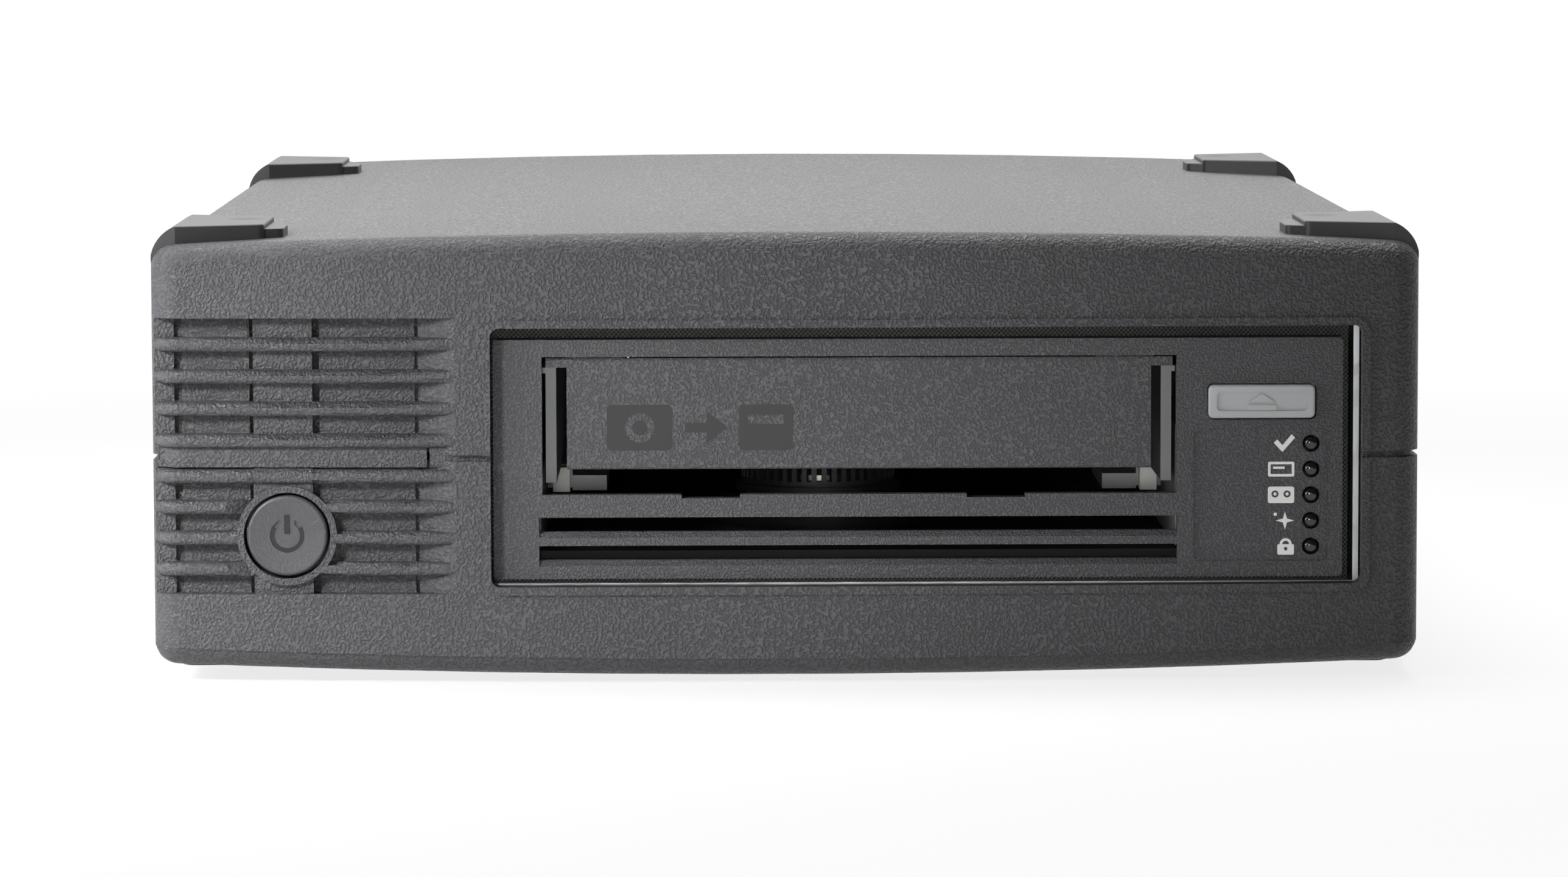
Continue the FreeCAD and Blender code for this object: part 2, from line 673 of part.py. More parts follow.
# ---------------------------------------------------------------- drive: front
def bezel():
    plate = rounded_plate(bezel_left, bezel_right, bezel_bottom, bezel_top, bezel_front, plate_back, 0.8)
    skirt = box(bezel_left, bezel_right, plate_back, drive_front, bezel_bottom, bezel_top)
    skirt = skirt.cut(box(bezel_left + bezel_wall, bezel_right - bezel_wall, plate_back, drive_front,
                          bezel_bottom + bezel_wall, bezel_top - 0.9))
    body = plate.fuse(skirt)
    body = body.cut(box(door_left, door_right, front - 5, plate_back + 1, door_opening_low,
                        door_opening_high))
    for x in (door_opening_centre - notch_offset, door_opening_centre + notch_offset - 2.1):
        body = body.cut(box(x - notch_width / 2, x + notch_width / 2, front - 5, plate_back + 1,
                            door_opening_low - notch_depth, door_opening_low + 1))
    for low in vent_low:
        y = bezel_front
        slot = [(y - 1, low - vent_slope - 0.95), (y, low - vent_slope), (y + 1.0, low),
                (plate_back + 1, low),
                (plate_back + 1, low + vent_slot), (y - 1, low + vent_slot)]
        body = body.cut(side_prism(slot, door_left - 0.6, door_right + 0.2))
    gap = eject_gap
    body = body.cut(rounded_plate(eject_x - eject_width / 2 - gap, eject_x + eject_width / 2 + gap,
                                  eject_z - eject_height / 2 - gap, eject_z + eject_height / 2 + gap,
                                  front - 5, plate_back + 1, 1.2))
    body = body.cut(rounded_plate(panel_left, panel_right, panel_low, panel_high,
                                  front - 5, bezel_front + panel_depth, 1.3))
    for i in range(lamp_count):
        body = body.cut(rod(lamp_x, front - 5, lamp_top - i * lamp_pitch, lamp_hole, 12, (0, 1, 0)))
    pocket_low, pocket_high = door_opening_high - 0.01, bezel_top - 0.9
    body = body.cut(box(door_left - 1.0, door_right + 1.0, bezel_front + 1.0, drive_front + 1,
                        pocket_low, pocket_high))
    for x in (door_left - 2.6, door_right + 1.0):
        ear = box(x, x + 1.6, bezel_front + 1.0, hinge_y + 2.0, hinge_height - 3, bezel_top - 0.9)
        body = body.fuse(ear)
    body = body.cut(rod(door_left - 2.6, hinge_y, hinge_height, hinge_pin_radius, door_opening_width + 5.2,
                        (1, 0, 0)))
    return body.removeSplitter()


def door_parts():
    y0 = bezel_front + door_set_back
    main_left = door_opening_centre - door_main_width / 2 - 0.05
    panel = box(main_left, main_left + door_main_width, y0, y0 + door_thick, door_bottom,
                door_opening_high - 0.3)
    ears = box(door_left + door_clear, door_right - door_clear, y0, y0 + door_thick,
               ear_bottom, door_opening_high - 0.3)
    door = panel.fuse(ears)
    edge = edges_where(door, lambda c, b: (b.XLength > 100 and abs(c.y - y0) < 0.01
                                           and abs(c.z - door_bottom) < 0.01))
    door = door.makeFillet(0.4, edge)
    knuckles = []
    for x0, x1 in ((door_left + 4, door_left + 14), (door_right - 14, door_right - 4)):
        knuckles.append(rod(x0, hinge_y, hinge_height, hinge_knuckle_radius, x1 - x0, (1, 0, 0)))
        knuckles.append(box(x0, x1, y0 + 0.3, y0 + door_thick, door_opening_high - 1.4, hinge_height))
    door = door.multiFuse(knuckles)
    door = door.cut(rod(door_left, hinge_y, hinge_height, hinge_pin_radius + running, door_opening_width,
                        (1, 0, 0)))
    pin = rod(door_left - 2.6, hinge_y, hinge_height, hinge_pin_radius, door_opening_width + 5.2, (1, 0, 0))
    coil = Part.makeHelix(0.7, 4.2, 1.05)
    coil_x = door_left + 15.0
    relief = box(coil_x - 0.5, coil_x + 4.9, y0 + 0.35, y0 + 5, hinge_height - 1.45, hinge_height + 1)
    door = door.cut(relief)
    profile = Part.Wire(Part.makeCircle(0.22, V(1.05, 0, 0), V(0, 1, 0)))
    spring = Part.Wire(coil).makePipeShell([profile], True, True)
    spring.rotate(V(0, 0, 0), V(0, 1, 0), 90)
    spring.translate(V(coil_x, hinge_y, hinge_height))
    return door.removeSplitter(), pin, spring


def eject_parts():
    x0, x1 = eject_x - eject_width / 2, eject_x + eject_width / 2
    z0, z1 = eject_z - eject_height / 2, eject_z + eject_height / 2
    face = bezel_front - eject_proud
    key = rounded_plate(x0, x1, z0, z1, face, plate_back, 1.0)
    key = key.makeFillet(0.45, edges_where(key, lambda c, b: abs(c.y - face) < 0.01))
    key = key.cut(rounded_plate(x0 + 1.4, x1 - 1.4, z0 + 1.25, z1 - 1.25, face - 1, face + eject_recess, 0.8))
    triangle = front_prism([(eject_x - 2.3, eject_z - 0.1), (eject_x + 2.3, eject_z - 0.1),
                            (eject_x, eject_z + 1.35)],
                           face + 0.15, face + eject_recess)
    bar = box(eject_x - 2.5, eject_x + 2.5, face + 0.15, face + eject_recess, eject_z - 1.6, eject_z - 0.6)
    flange = box(x0 - 1, x1 + 1, plate_back + 0.2, plate_back + 1.0, z0 - 1, z1 + 1)
    neck = box(x0 + 1, x1 - 1, plate_back, plate_back + 0.2, z0 + 1, z1 - 1)
    board_front = drive_front
    stem = rod(eject_x, plate_back + 1.0, eject_z, 1.5,
               board_front - 0.9 - eject_travel - 0.1 - plate_back - 1.0,
               (0, 1, 0))
    key = join([key, triangle, bar, neck, flange, stem])
    board = box(bezel_right - 27.0, bezel_right - 4.0, board_front, board_front + board_thick, drive_floor,
                bezel_top - 3.9)
    switch = box(eject_x - 2.5, eject_x + 2.5, board_front - 0.6, board_front, eject_z - 2.5, eject_z + 2.5)
    switch = switch.fuse(rod(eject_x, board_front - 0.9, eject_z, 1.2, 0.3, (0, 1, 0)))
    lamps = []
    for i in range(lamp_count):
        z = lamp_top - i * lamp_pitch
        tip = bezel_front - 0.25
        pipe = rod(lamp_x, tip, z, lamp_radius, board_front - tip, (0, 1, 0))
        pipe = pipe.makeFillet(0.85, edges_where(pipe, lambda c, b: abs(c.y - tip) < 0.01))
        lamps.append(pipe)
    return key, board, switch, lamps


def gasket():
    y0 = bezel_front + 5.2
    ring = box(bezel_left - 1.4, bezel_right + 1.4, y0, y0 + 5, cage_floor + cage_sheet,
               cage_top - cage_sheet)
    return ring.cut(box(bezel_left, bezel_right, y0 - 1, y0 + 6, bezel_bottom, bezel_top))


# ---------------------------------------------------------------- drive: chassis
def cage():
    y0, y1 = bezel_front + 4.0, drive_back + cage_back
    s = cage_sheet
    floor = box(cage_left - s, cage_right + s, y0, y1, cage_floor, cage_floor + s)
    sides = [box(cage_left - s, cage_left, y0, y1, cage_floor, cage_top),
             box(cage_right, cage_right + s, y0, y1, cage_floor, cage_top)]
    bridge = box(cage_left, cage_right, y0, y0 + 14, cage_top - s, cage_top)
    body = join([floor, bridge] + sides)
    for x, y in cage_screw_spots():
        body = body.cut(rod(x, y, cage_floor - 1, screw_radius + fit, 4))
    for y in side_screw_y():
        body = body.cut(rod(cage_left - 5, y, side_screw_z(), screw_radius, case_width, (1, 0, 0)))
    for i in range(7):
        y = drive_front + 41.0 + i * 20.0
        body = body.cut(box(cage_left + 25, cage_right - 25, y, y + 10, cage_floor - 1, cage_floor + 3))
    return body


def cage_screw_spots():
    return [(x, y) for x in (cage_left + cage_screw_inset, cage_right - cage_screw_inset)
            for y in cage_screw_y]


def side_screw_y():
    return (drive_front + 50.0, drive_front + 130.0)


def side_screw_z():
    return bezel_bottom + 10.0


def drive_screws():
    screws = []
    for y in side_screw_y():
        for side in (-1, 1):
            outside = cage_left - cage_sheet if side < 0 else cage_right + cage_sheet
            reach = cage_sheet + cage_side_gap + 1.0 + drive_wall
            shank = rod(outside, y, side_screw_z(), screw_radius, reach, (-side, 0, 0))
            head = rod(outside, y, side_screw_z(), screw_head, 1.6, (side, 0, 0))
            face = outside + side * 1.6
            screws.append(shank.fuse(head).cut(cross_slot(face, y, side_screw_z(), (-side, 0, 0))))
    for x, y in cage_screw_spots():
        top = cage_floor + cage_sheet
        shank = rod(x, y, top - 9.0, screw_radius, 9.0)
        screws.append(shank.fuse(rod(x, y, top, screw_head, 0.9)))
    return screws


def bushes():
    rings = []
    for y in side_screw_y():
        rings.append(tube(cage_left, y, side_screw_z(), 4.0, screw_radius, drive_left - cage_left, (1, 0, 0)))
        rings.append(tube(drive_right, y, side_screw_z(), 4.0, screw_radius, cage_right - drive_right,
                          (1, 0, 0)))
    return rings


def drive_base():
    low = bezel_bottom + 0.2 + board_thick
    block = box(drive_left, drive_right, drive_front, drive_back, low, cover_under)
    inner = box(drive_left + drive_wall, drive_right - drive_wall, drive_front - 1, drive_back - drive_wall,
                drive_floor, cover_under + 1)
    body = block.cut(inner)
    posts = [rod(arm_x, arm_y, drive_floor - 0.5, 4.0, arm_low - 0.4 - drive_floor + 0.5),
             rod(gear_axis_x(), gear_y, drive_floor - 0.5, 3.0, gear_low - 0.3 - drive_floor + 0.5),
             rod(drive_left + 8, drive_back - 8, drive_floor - 0.5, 4.0, cover_under - drive_floor + 0.5),
             rod(drive_right - 6, drive_back - 8, drive_floor - 0.5, 4.0, cover_under - drive_floor + 0.5)]
    body = body.multiFuse(posts)
    body = body.cut(rod(arm_x, arm_y, arm_pin_low, 2.0, 20.0))
    body = body.cut(rod(gear_axis_x(), gear_y, axle_low, 1.5, 20.0))
    for y in side_screw_y():
        body = body.cut(rod(drive_left - 1, y, side_screw_z(), screw_radius, 5, (1, 0, 0)))
        body = body.cut(rod(drive_right - 4, y, side_screw_z(), screw_radius, 5, (1, 0, 0)))
    return body.removeSplitter()


def drive_cover():
    lid = box(drive_left - cover_sheet, drive_right + cover_sheet, drive_front, drive_back,
              cover_under, cover_under + cover_sheet)
    sides = [box(drive_left - cover_sheet, drive_left, drive_front, drive_back,
                 cover_under - cover_flange, cover_under),
             box(drive_right, drive_right + cover_sheet, drive_front, drive_back,
                 cover_under - cover_flange, cover_under)]
    lid = join([lid] + sides)
    bead = box(drive_left + 30, drive_right - 26, drive_front + 101, drive_back - 26, cover_under,
               cover_under + 0.3)
    return lid.cut(bead)


def main_board():
    low = bezel_bottom + 0.2
    board = box(drive_left + 2, drive_right - 2, drive_front + 20, drive_back - 4, low, low + board_thick)
    chips = []
    for x, y, side in board_chips:
        x0, y0 = drive_left + x, drive_front + y
        chips.append(box(x0, x0 + side, y0, y0 + side, low - 1.0, low))
    return join([board] + chips)


def rear_connector():
    shell = box(plug_x, plug_x + 42, drive_back, drive_back + 7, plug_low, plug_low + 9)
    return shell.cut(box(plug_x + 2, plug_x + 40, drive_back + 2, drive_back + 8, plug_low + 2, plug_low + 7))


# ---------------------------------------------------------------- drive: transport
def involute_outline(teeth, module, backlash):
    """Outline of a spur gear as (x, y) points, with one tooth pointing along +X."""
    pitch_r = module * teeth / 2
    base_r = pitch_r * math.cos(math.radians(20))
    tip_r = pitch_r + 0.9 * module
    root_r = pitch_r - 1.15 * module
    half_tooth = math.pi / (2 * teeth) - backlash / (2 * pitch_r)
    inv_pitch = math.tan(math.radians(20)) - math.radians(20)
    flank = []
    steps = 5
    start_r = max(base_r, root_r)
    for i in range(steps + 1):
        radius = start_r + (tip_r - start_r) * i / steps
        press = math.acos(min(1.0, base_r / radius))
        angle = half_tooth + inv_pitch - (math.tan(press) - press)
        flank.append((radius, angle))
    points = []
    for tooth in range(teeth):
        middle = 2 * math.pi * tooth / teeth
        points.append((root_r, middle - flank[0][1] - 0.02))
        points += [(radius, middle - angle) for radius, angle in flank]
        points += [(radius, middle + angle) for radius, angle in reversed(flank)]
        points.append((root_r, middle + flank[0][1] + 0.02))
    return [(radius * math.cos(angle), radius * math.sin(angle)) for radius, angle in points]


def gear(teeth, x, y, z, turn, bore):
    outline = involute_outline(teeth, gear_module, 0.12)
    wheel = prism(outline, 0, gear_face).cut(rod(0, 0, -1, bore, gear_face + 2))
    wheel.rotate(V(0, 0, 0), V(0, 0, 1), turn)
    wheel.translate(V(x, y, z))
    return wheel


def gear_axis_x():
    return rack_pitch_x + gear_module * gear_teeth / 2 + 0.05


def pinion_axis_y():
    return gear_y - gear_module * (gear_teeth + pinion_teeth) / 2 - 0.05


def loader_parts():
    # the big gear has a tooth space facing the rack at -X, and a tooth facing the pinion at -Y
    big = gear(gear_teeth, gear_axis_x(), gear_y, gear_low, 180.0 / gear_teeth, 1.5 + running)
    pinion_turn = 90.0
    small = gear(pinion_teeth, gear_axis_x(), pinion_axis_y(), gear_low, pinion_turn, 0.99)
    shaft = rod(gear_axis_x(), pinion_axis_y(), gear_low - 4, 0.99, gear_face + 4.6)
    motor = rod(gear_axis_x(), pinion_axis_y(), drive_floor, 8.0, gear_low - 1.0 - drive_floor)
    motor = motor.cut(rod(gear_axis_x(), pinion_axis_y(), drive_floor + 4, 0.99 + running, 30))
    axle = rod(gear_axis_x(), gear_y, axle_low, 1.5, gear_low + gear_face + 1.0 - axle_low)
    return big, small.fuse(shaft), motor, axle


def rack_outline():
    """Rack on the right sled bar, seen from above: straight back, teeth on its +X side."""
    pitch = math.pi * gear_module
    x_tip, x_root = rack_pitch_x + 0.9 * gear_module, rack_pitch_x - 1.2 * gear_module
    half_at_pitch = pitch / 4 - 0.06
    lean = math.tan(math.radians(20))
    back_x = sled_inner_right()
    points = [(back_x, sled_front), (x_root, sled_front)]
    for i in range(-7, 7):
        y = gear_y + i * pitch
        tip_half = half_at_pitch - 0.9 * gear_module * lean
        root_half = half_at_pitch + 1.2 * gear_module * lean
        points += [(x_root, y - root_half), (x_tip, y - tip_half), (x_tip, y + tip_half),
                   (x_root, y + root_half)]
    points += [(x_root, sled_back), (back_x, sled_back)]
    return points


def sled_inner_right():
    return door_opening_centre + carrier_half + 0.4


def sled_inner_left():
    return door_opening_centre - carrier_half - 0.4


def sled():
    """Frame that carries the cartridge carrier back; its right bar is a rack."""
    right_x, left_x = sled_inner_right(), sled_inner_left()
    bar = rack_pitch_x - 1.2 * gear_module
    low = drive_floor + 0.2
    rack = prism(rack_outline(), gear_low - 0.3, gear_low + gear_face + 0.3)
    right = box(right_x, bar, sled_front, sled_back, low, gear_low)
    left = box(left_x - 3.4, left_x, sled_front, sled_back, low, low + 13.4)
    yoke = box(left_x - 3.4, bar, sled_back - 3.0, sled_back, low, low + 1.8)
    return join([rack, right, left, yoke])


def carrier():
    guides, blocks = [], []
    centre, y0, z0 = door_opening_centre, drive_front, drive_floor
    for side in (-1, 1):
        def span(a, b):
            return sorted((centre + side * a, centre + side * b))
        x0, x1 = span(54.75, 52.9)
        wall_plate = box(x0, x1, y0, y0 + 67.0, z0 + 12.0, z0 + 31.8)
        x0, x1 = span(carrier_half, 52.9)
        hook = box(x0, x1, y0, y0 + 67.0, z0 + 31.2, z0 + 32.2)
        x0, x1 = span(carrier_half, 50.9)
        foot = box(x0, x1, y0 + 33.0, y0 + 65.0, z0 + 7.8, z0 + 12.0)
        x0, x1 = span(50.9, 44.75)
        shelf = box(x0, x1, y0 + 33.0, y0 + 63.0, z0 + 7.3, z0 + 10.0)
        guides.append(join([wall_plate, hook, foot, shelf]))
        x0, x1 = span(54.3, 51.3)
        blocks.append(box(x0, x1, y0 + 29.0, y0 + 33.0, z0 + 7.4, z0 + 11.8))
    return guides, blocks


def hub_parts():
    ring_low = hub_low + 1.4
    flange = rod(hub_x, hub_y, hub_low, 15.0, 1.4)
    ring = tube(hub_x, hub_y, ring_low, hub_outer, hub_inner, hub_top - ring_low)
    gaps = []
    for i in range(hub_teeth):
        gap = box(hub_inner - 1, hub_outer + 1, -0.45, 0.45, hub_top - hub_tooth, hub_top + 1)
        gap.rotate(V(0, 0, 0), V(0, 0, 1), 360.0 * i / hub_teeth)
        gap.translate(V(hub_x, hub_y, 0))
        gaps.append(gap)
    ring = ring.cut(Part.makeCompound(gaps))
    magnet = rod(hub_x, hub_y, ring_low, 8.0, 1.6)
    shaft = rod(hub_x, hub_y, drive_floor + 1.0, 2.5, hub_low + 0.6 - drive_floor - 1.0)
    hub = join([flange, ring, shaft])
    motor = rod(hub_x, hub_y, drive_floor, 18.0,
                5.5).cut(rod(hub_x, hub_y, drive_floor + 0.5, 2.5 + running, 10))
    return hub, magnet, motor


def reel_parts():
    top = reel_low + flange_thick + tape_width
    lower = rod(reel_x, reel_y, reel_low, reel_radius, flange_thick)
    core = rod(reel_x, reel_y, reel_low, 22.0, flange_thick * 2 + tape_width)
    upper = rod(reel_x, reel_y, top, reel_radius, flange_thick)
    shaft = rod(reel_x, reel_y, drive_floor + 1.0, 3.0, reel_low - drive_floor)
    slot = box(reel_x - 3, reel_x + 3, reel_y - 24, reel_y - 10, reel_low + flange_thick, top + 3)
    reel = join([lower, core, upper, shaft]).cut(slot)
    motor = rod(reel_x, reel_y, drive_floor, 20.0,
                5.6).cut(rod(reel_x, reel_y, drive_floor + 0.5, 3.0 + running, 10))
    return reel, motor


def roller(x, y):
    low = roller_low
    barrel = rod(x, y, low, roller_radius, 14.6)
    ends = [rod(x, y, low, roller_flange, 1.0), rod(x, y, low + 13.6, roller_flange, 1.0)]
    return join([barrel] + ends).cut(rod(x, y, low - 1, 1.0 + running, 20))


def roller_shafts():
    pins = []
    for x, y in roller_spots:
        pins.append(rod(x, y, drive_floor, 1.0, 22.6).fuse(rod(x, y, drive_floor, 3.0, 6.4)))
    return pins


def head_parts():
    x, y0, low = head_x, head_y, head_low
    block = box(x - 7, x + 9, y0 - 9, y0 + 9, low, low + 14)
    block = block.cut(box(x - 4, x - 1.5, y0 - 10, y0 + 10, low + 3, low + 15))
    for y in (y0 - 6, y0 + 6):
        block = block.cut(rod(x + 3.5, y, low - 1, 1.5 + running, 20))
    coil = box(x + 9, x + 11, y0 - 6, y0 + 6, low + 2, low + 12)
    head = box(x - 11, x - 7, y0 - 7, y0 + 7, low + 1, low + 14)
    head = head.makeFillet(1.4, edges_where(head, lambda c, b: b.ZLength > 1 and c.x < x - 10.9))
    shafts = [rod(x + 3.5, y, drive_floor, 1.5, 26.0) for y in (y0 - 6, y0 + 6)]
    yoke = box(x + 11.8, x + 17, y0 - 9, y0 + 9, drive_floor, low + 18)
    return block, coil, head, shafts, yoke


def threader():
    dx, dy = arm_tip_x - arm_x, arm_tip_y - arm_y
    length = math.hypot(dx, dy)
    angle = math.degrees(math.atan2(dy, dx))
    beam = box(0, length, -3.0, 3.0, arm_low, arm_low + 2.0)
    hub = rod(0, 0, arm_low, 6.0, 2.6)
    tip = rod(length, 0, arm_low - 3.6, 2.4, 5.6)
    arm = join([beam, hub, tip]).cut(rod(0, 0, arm_low - 1, 2.0 + running, 5))
    arm.rotate(V(0, 0, 0), V(0, 0, 1), angle)
    arm.translate(V(arm_x, arm_y, 0))
    pin = rod(arm_x, arm_y, arm_pin_low, 2.0, 12.6)
    pin = pin.fuse(rod(arm_x, arm_y, arm_low + 2.9, 3.5, 0.8))
    return arm, pin


# ---------------------------------------------------------------- supply and back
def supply_parts():
    low = cavity_low + 2.0
    tray_top = low + 1.0
    tray = box(tray_left, tray_right, tray_front, tray_back, low, tray_top)
    tray = tray.fuse(box(tray_right - 1.0, tray_right, tray_front, tray_back, low, part_height + 0.5))
    tray = tray.cut(Part.makeCompound([rod(x, y, cavity_low, 1.2, 6) for x, y in tray_screw_spots]))
    board_low = tray_top + 4.0
    board = box(tray_left + 1.0, tray_right - 1.8, tray_front + 3, tray_back - 3, board_low,
                board_low + board_thick)
    spots = [(x, y) for x in (tray_left + 4.0, tray_right - 3.8) for y in (tray_front + 7.0, tray_back - 7.0)]
    stands = [tube(x, y, tray_top, 2.5, 1.2, 4.0) for x, y in spots]
    screws = [rod(x, y, tray_top, 1.2, 4.0 + board_thick).fuse(rod(x, y, board_low + board_thick, 2.4, 1.4))
              for x, y in spots]
    board = board.cut(Part.makeCompound([rod(x, y, board_low - 1, 1.2, 4) for x, y in spots]))
    top = board_low + board_thick
    x0, y0 = tray_left, tray_front
    core = box(x0 + 7, x0 + 39, y0 + 85, y0 + 115, top, top + 26)
    winding = box(x0 + 9, x0 + 37, y0 + 79, y0 + 121, top + 5, top + 21)
    transformer = core.cut(box(x0 + 9, x0 + 37, y0 + 78, y0 + 122, top + 5, top + 21)), winding
    caps = []
    for x, y, radius, height in ((13.0, 37.0, 11.0, 34.0), (35.0, 33.0, 6.0, 22.0), (9.0, 139.0, 5.0, 20.0),
                                 (21.0, 139.0, 5.0, 20.0), (33.0, 139.0, 5.0, 20.0)):
        can = rod(x0 + x, y0 + y, top, radius, height)
        rim = edges_where(can, lambda c, b: abs(c.z - top - height) < 0.01)
        caps.append(can.makeFillet(0.8, rim))
    sinks = []
    for x, step in ((tray_left + 4.0, 1), (tray_right - 4.8, -1)):
        plate = box(x - 1.0, x + 1.0, y0 + 55, y0 + 77, top, top + 30)
        near, far = sorted((x + step, x + step * 6.0))
        fins = [box(near, far, y0 + 56 + 4 * i, y0 + 57.2 + 4 * i, top + 4, top + 30) for i in range(6)]
        sinks.append(join([plate] + fins))
    return tray, board, stands, screws, transformer, caps, sinks


def rear_parts():
    panel = box(-rear_open_x - 3, rear_open_x + 3, panel_front, back - wall, rear_open_low - 3.5,
                rear_open_high + 3.5)
    panel = panel.cut(rod(fan_x, panel_front - 1, fan_z, fan_bore, 4, (0, 1, 0)))
    panel = panel.cut(box(inlet_x - 13.6, inlet_x + 13.6, panel_front - 1, back, inlet_z - 9.6,
                          inlet_z + 9.6))
    for x in socket_spots:
        panel = panel.cut(box(x - socket_width / 2, x + socket_width / 2, panel_front - 1, back,
                              socket_z - socket_height / 2, socket_z + socket_height / 2))
    slots = []
    for row in range(4):
        for column in range(8):
            x = socket_spots[0] - 8.0 + column * 7.5
            z = socket_z + 16.0 + row * 6.5
            slots.append(box(x, x + 5.0, panel_front - 1, back, z, z + 3.0))
    holes = [rod(x, panel_front - 1, z, screw_radius, 4, (0, 1, 0)) for x, z in fan_screw_spots()]
    panel = panel.cut(Part.makeCompound(slots + holes))
    return panel


def fan_screw_spots():
    reach = fan_size / 2 - 5.0
    return [(fan_x + i * reach, fan_z + j * reach) for i in (-1, 1) for j in (-1, 1)]


def fan_parts():
    y1 = panel_front
    y0 = y1 - fan_depth
    half = fan_size / 2
    frame = rounded_plate(fan_x - half, fan_x + half, fan_z - half, fan_z + half, y0, y1, 3.0)
    frame = frame.cut(rod(fan_x, y0 - 1, fan_z, fan_bore, fan_depth + 2, (0, 1, 0)))
    plate = rod(fan_x, y1 - 2.2, fan_z, fan_hub - 1, 2.2, (0, 1, 0))
    post = rod(fan_x, y0 + 4.0, fan_z, 3.0, fan_depth - 5, (0, 1, 0))
    arms = []
    for turn in (45, 135, 225, 315):
        arm = box(fan_x + 10, fan_x + fan_bore + 1, y1 - 2.2, y1, fan_z - 1.5, fan_z + 1.5)
        arm.rotate(V(fan_x, 0, fan_z), V(0, 1, 0), turn)
        arms.append(arm)
    frame = frame.multiFuse([plate, post] + arms)
    frame = frame.cut(rod(fan_x, y0 + 3, fan_z, 1.5 + running, fan_depth - 4, (0, 1, 0)))
    frame = frame.cut(Part.makeCompound([rod(x, y0 - 1, z, screw_radius, fan_depth + 2, (0, 1, 0))
                                         for x, z in fan_screw_spots()]))
    cup = tube(fan_x, y0 + 0.8, fan_z, fan_hub, fan_hub - 1.6, fan_depth - 4.0, (0, 1, 0))
    cap = rod(fan_x, y0 + 0.8, fan_z, fan_hub, 1.6, (0, 1, 0))
    shaft = rod(fan_x, y0 + 1.0, fan_z, 1.5, fan_depth - 4.0, (0, 1, 0))
    blades = []
    for i in range(fan_blades):
        blade = box(fan_hub - 0.6, fan_bore - 0.8, -5.2, 5.2, -0.6, 0.6)
        blade.rotate(V(0, 0, 0), V(1, 0, 0), 35)
        blade.translate(V(fan_x, y0 + 6.3, fan_z))
        blade.rotate(V(fan_x, 0, fan_z), V(0, 1, 0), 360.0 * i / fan_blades)
        blades.append(blade)
    rotor = join([cup, cap, shaft] + blades)
    guard_y = back - wall
    rings = [Part.makeTorus(radius, 0.7, V(fan_x, guard_y + 0.7, fan_z), V(0, 1, 0))
             for radius in (9.0, 17.0, 25.0)]
    bars = []
    for turn in (45, 135):
        length = 2 * math.sqrt(2) * (fan_size / 2 - 5.0)
        bar = rod(fan_x - length / 2, guard_y + 0.95, fan_z, 0.6, length, (1, 0, 0))
        bar.rotate(V(fan_x, 0, fan_z), V(0, 1, 0), turn)
        bars.append(bar)
    eyes = [tube(x, guard_y, z, 3.2, screw_radius, 1.6, (0, 1, 0)) for x, z in fan_screw_spots()]
    guard = join(rings + bars + eyes)
    guard = guard.cut(Part.makeCompound([rod(x, guard_y - 1, z, screw_radius, 5, (0, 1, 0))
                                         for x, z in fan_screw_spots()]))
    screws = []
    for x, z in fan_screw_spots():
        shank = rod(x, y1 - 12, z, screw_radius, guard_y + 1.6 - y1 + 12, (0, 1, 0))
        screws.append(shank.fuse(rod(x, guard_y + 1.6, z, screw_head, 0.8, (0, 1, 0))))
    return frame, rotor, guard, screws


def inlet_parts():
    y1 = back - wall
    flange = rounded_plate(inlet_x - 16, inlet_x + 16, inlet_z - 12, inlet_z + 12, y1, y1 + 1.8, 2.0)
    housing = box(inlet_x - 13.5, inlet_x + 13.5, y1 - 20, y1, inlet_z - 9.5, inlet_z + 9.5)
    body = flange.fuse(housing)
    shape = [(-12.0, -8.0), (12.0, -8.0), (12.0, 3.0), (7.5, 8.0), (-7.5, 8.0), (-12.0, 3.0)]
    outline = [(inlet_x + x, inlet_z + z) for x, z in shape]
    body = body.cut(front_prism(outline, y1 - 16, y1 + 3))
    pins = []
    for x, z in ((0.0, 2.5), (-7.0, -1.5), (7.0, -1.5)):
        pins.append(box(inlet_x + x - 1.0, inlet_x + x + 1.0, y1 - 20, y1 - 2.0, inlet_z + z - 2.0,
                        inlet_z + z + 2.0))
        body = body.cut(pins[-1])
    return body, pins


def socket_parts():
    sockets, tongues = [], []
    y1 = back - wall
    for x in socket_spots:
        x0, x1 = x - socket_width / 2, x + socket_width / 2
        z0, z1 = socket_z - socket_height / 2, socket_z + socket_height / 2
        shell = box(x0, x1, y1 - 22, y1 + wall + rim_proud, z0, z1)
        shell = shell.cut(box(x0 + 1, x1 - 1, y1 - 20, y1 + 9, z0 + 1, z1 - 1))
        sockets.append(shell)
        tongues.append(box(x0 + 3, x1 - 3, y1 - 20, y1 - 9, socket_z - 0.8, socket_z + 0.8))
    low = socket_z - socket_height / 2 - board_thick
    board = box(socket_spots[0] - 14, socket_spots[1] + 16, back - 50, y1 - 3, low, low + board_thick)
    legs = [tube(x, y, cavity_low, 3.0, 1.2, low - cavity_low)
            for x in (socket_spots[0] - 8, socket_spots[1] + 10) for y in (back - 44, back - 12)]
    return sockets, tongues, board, legs


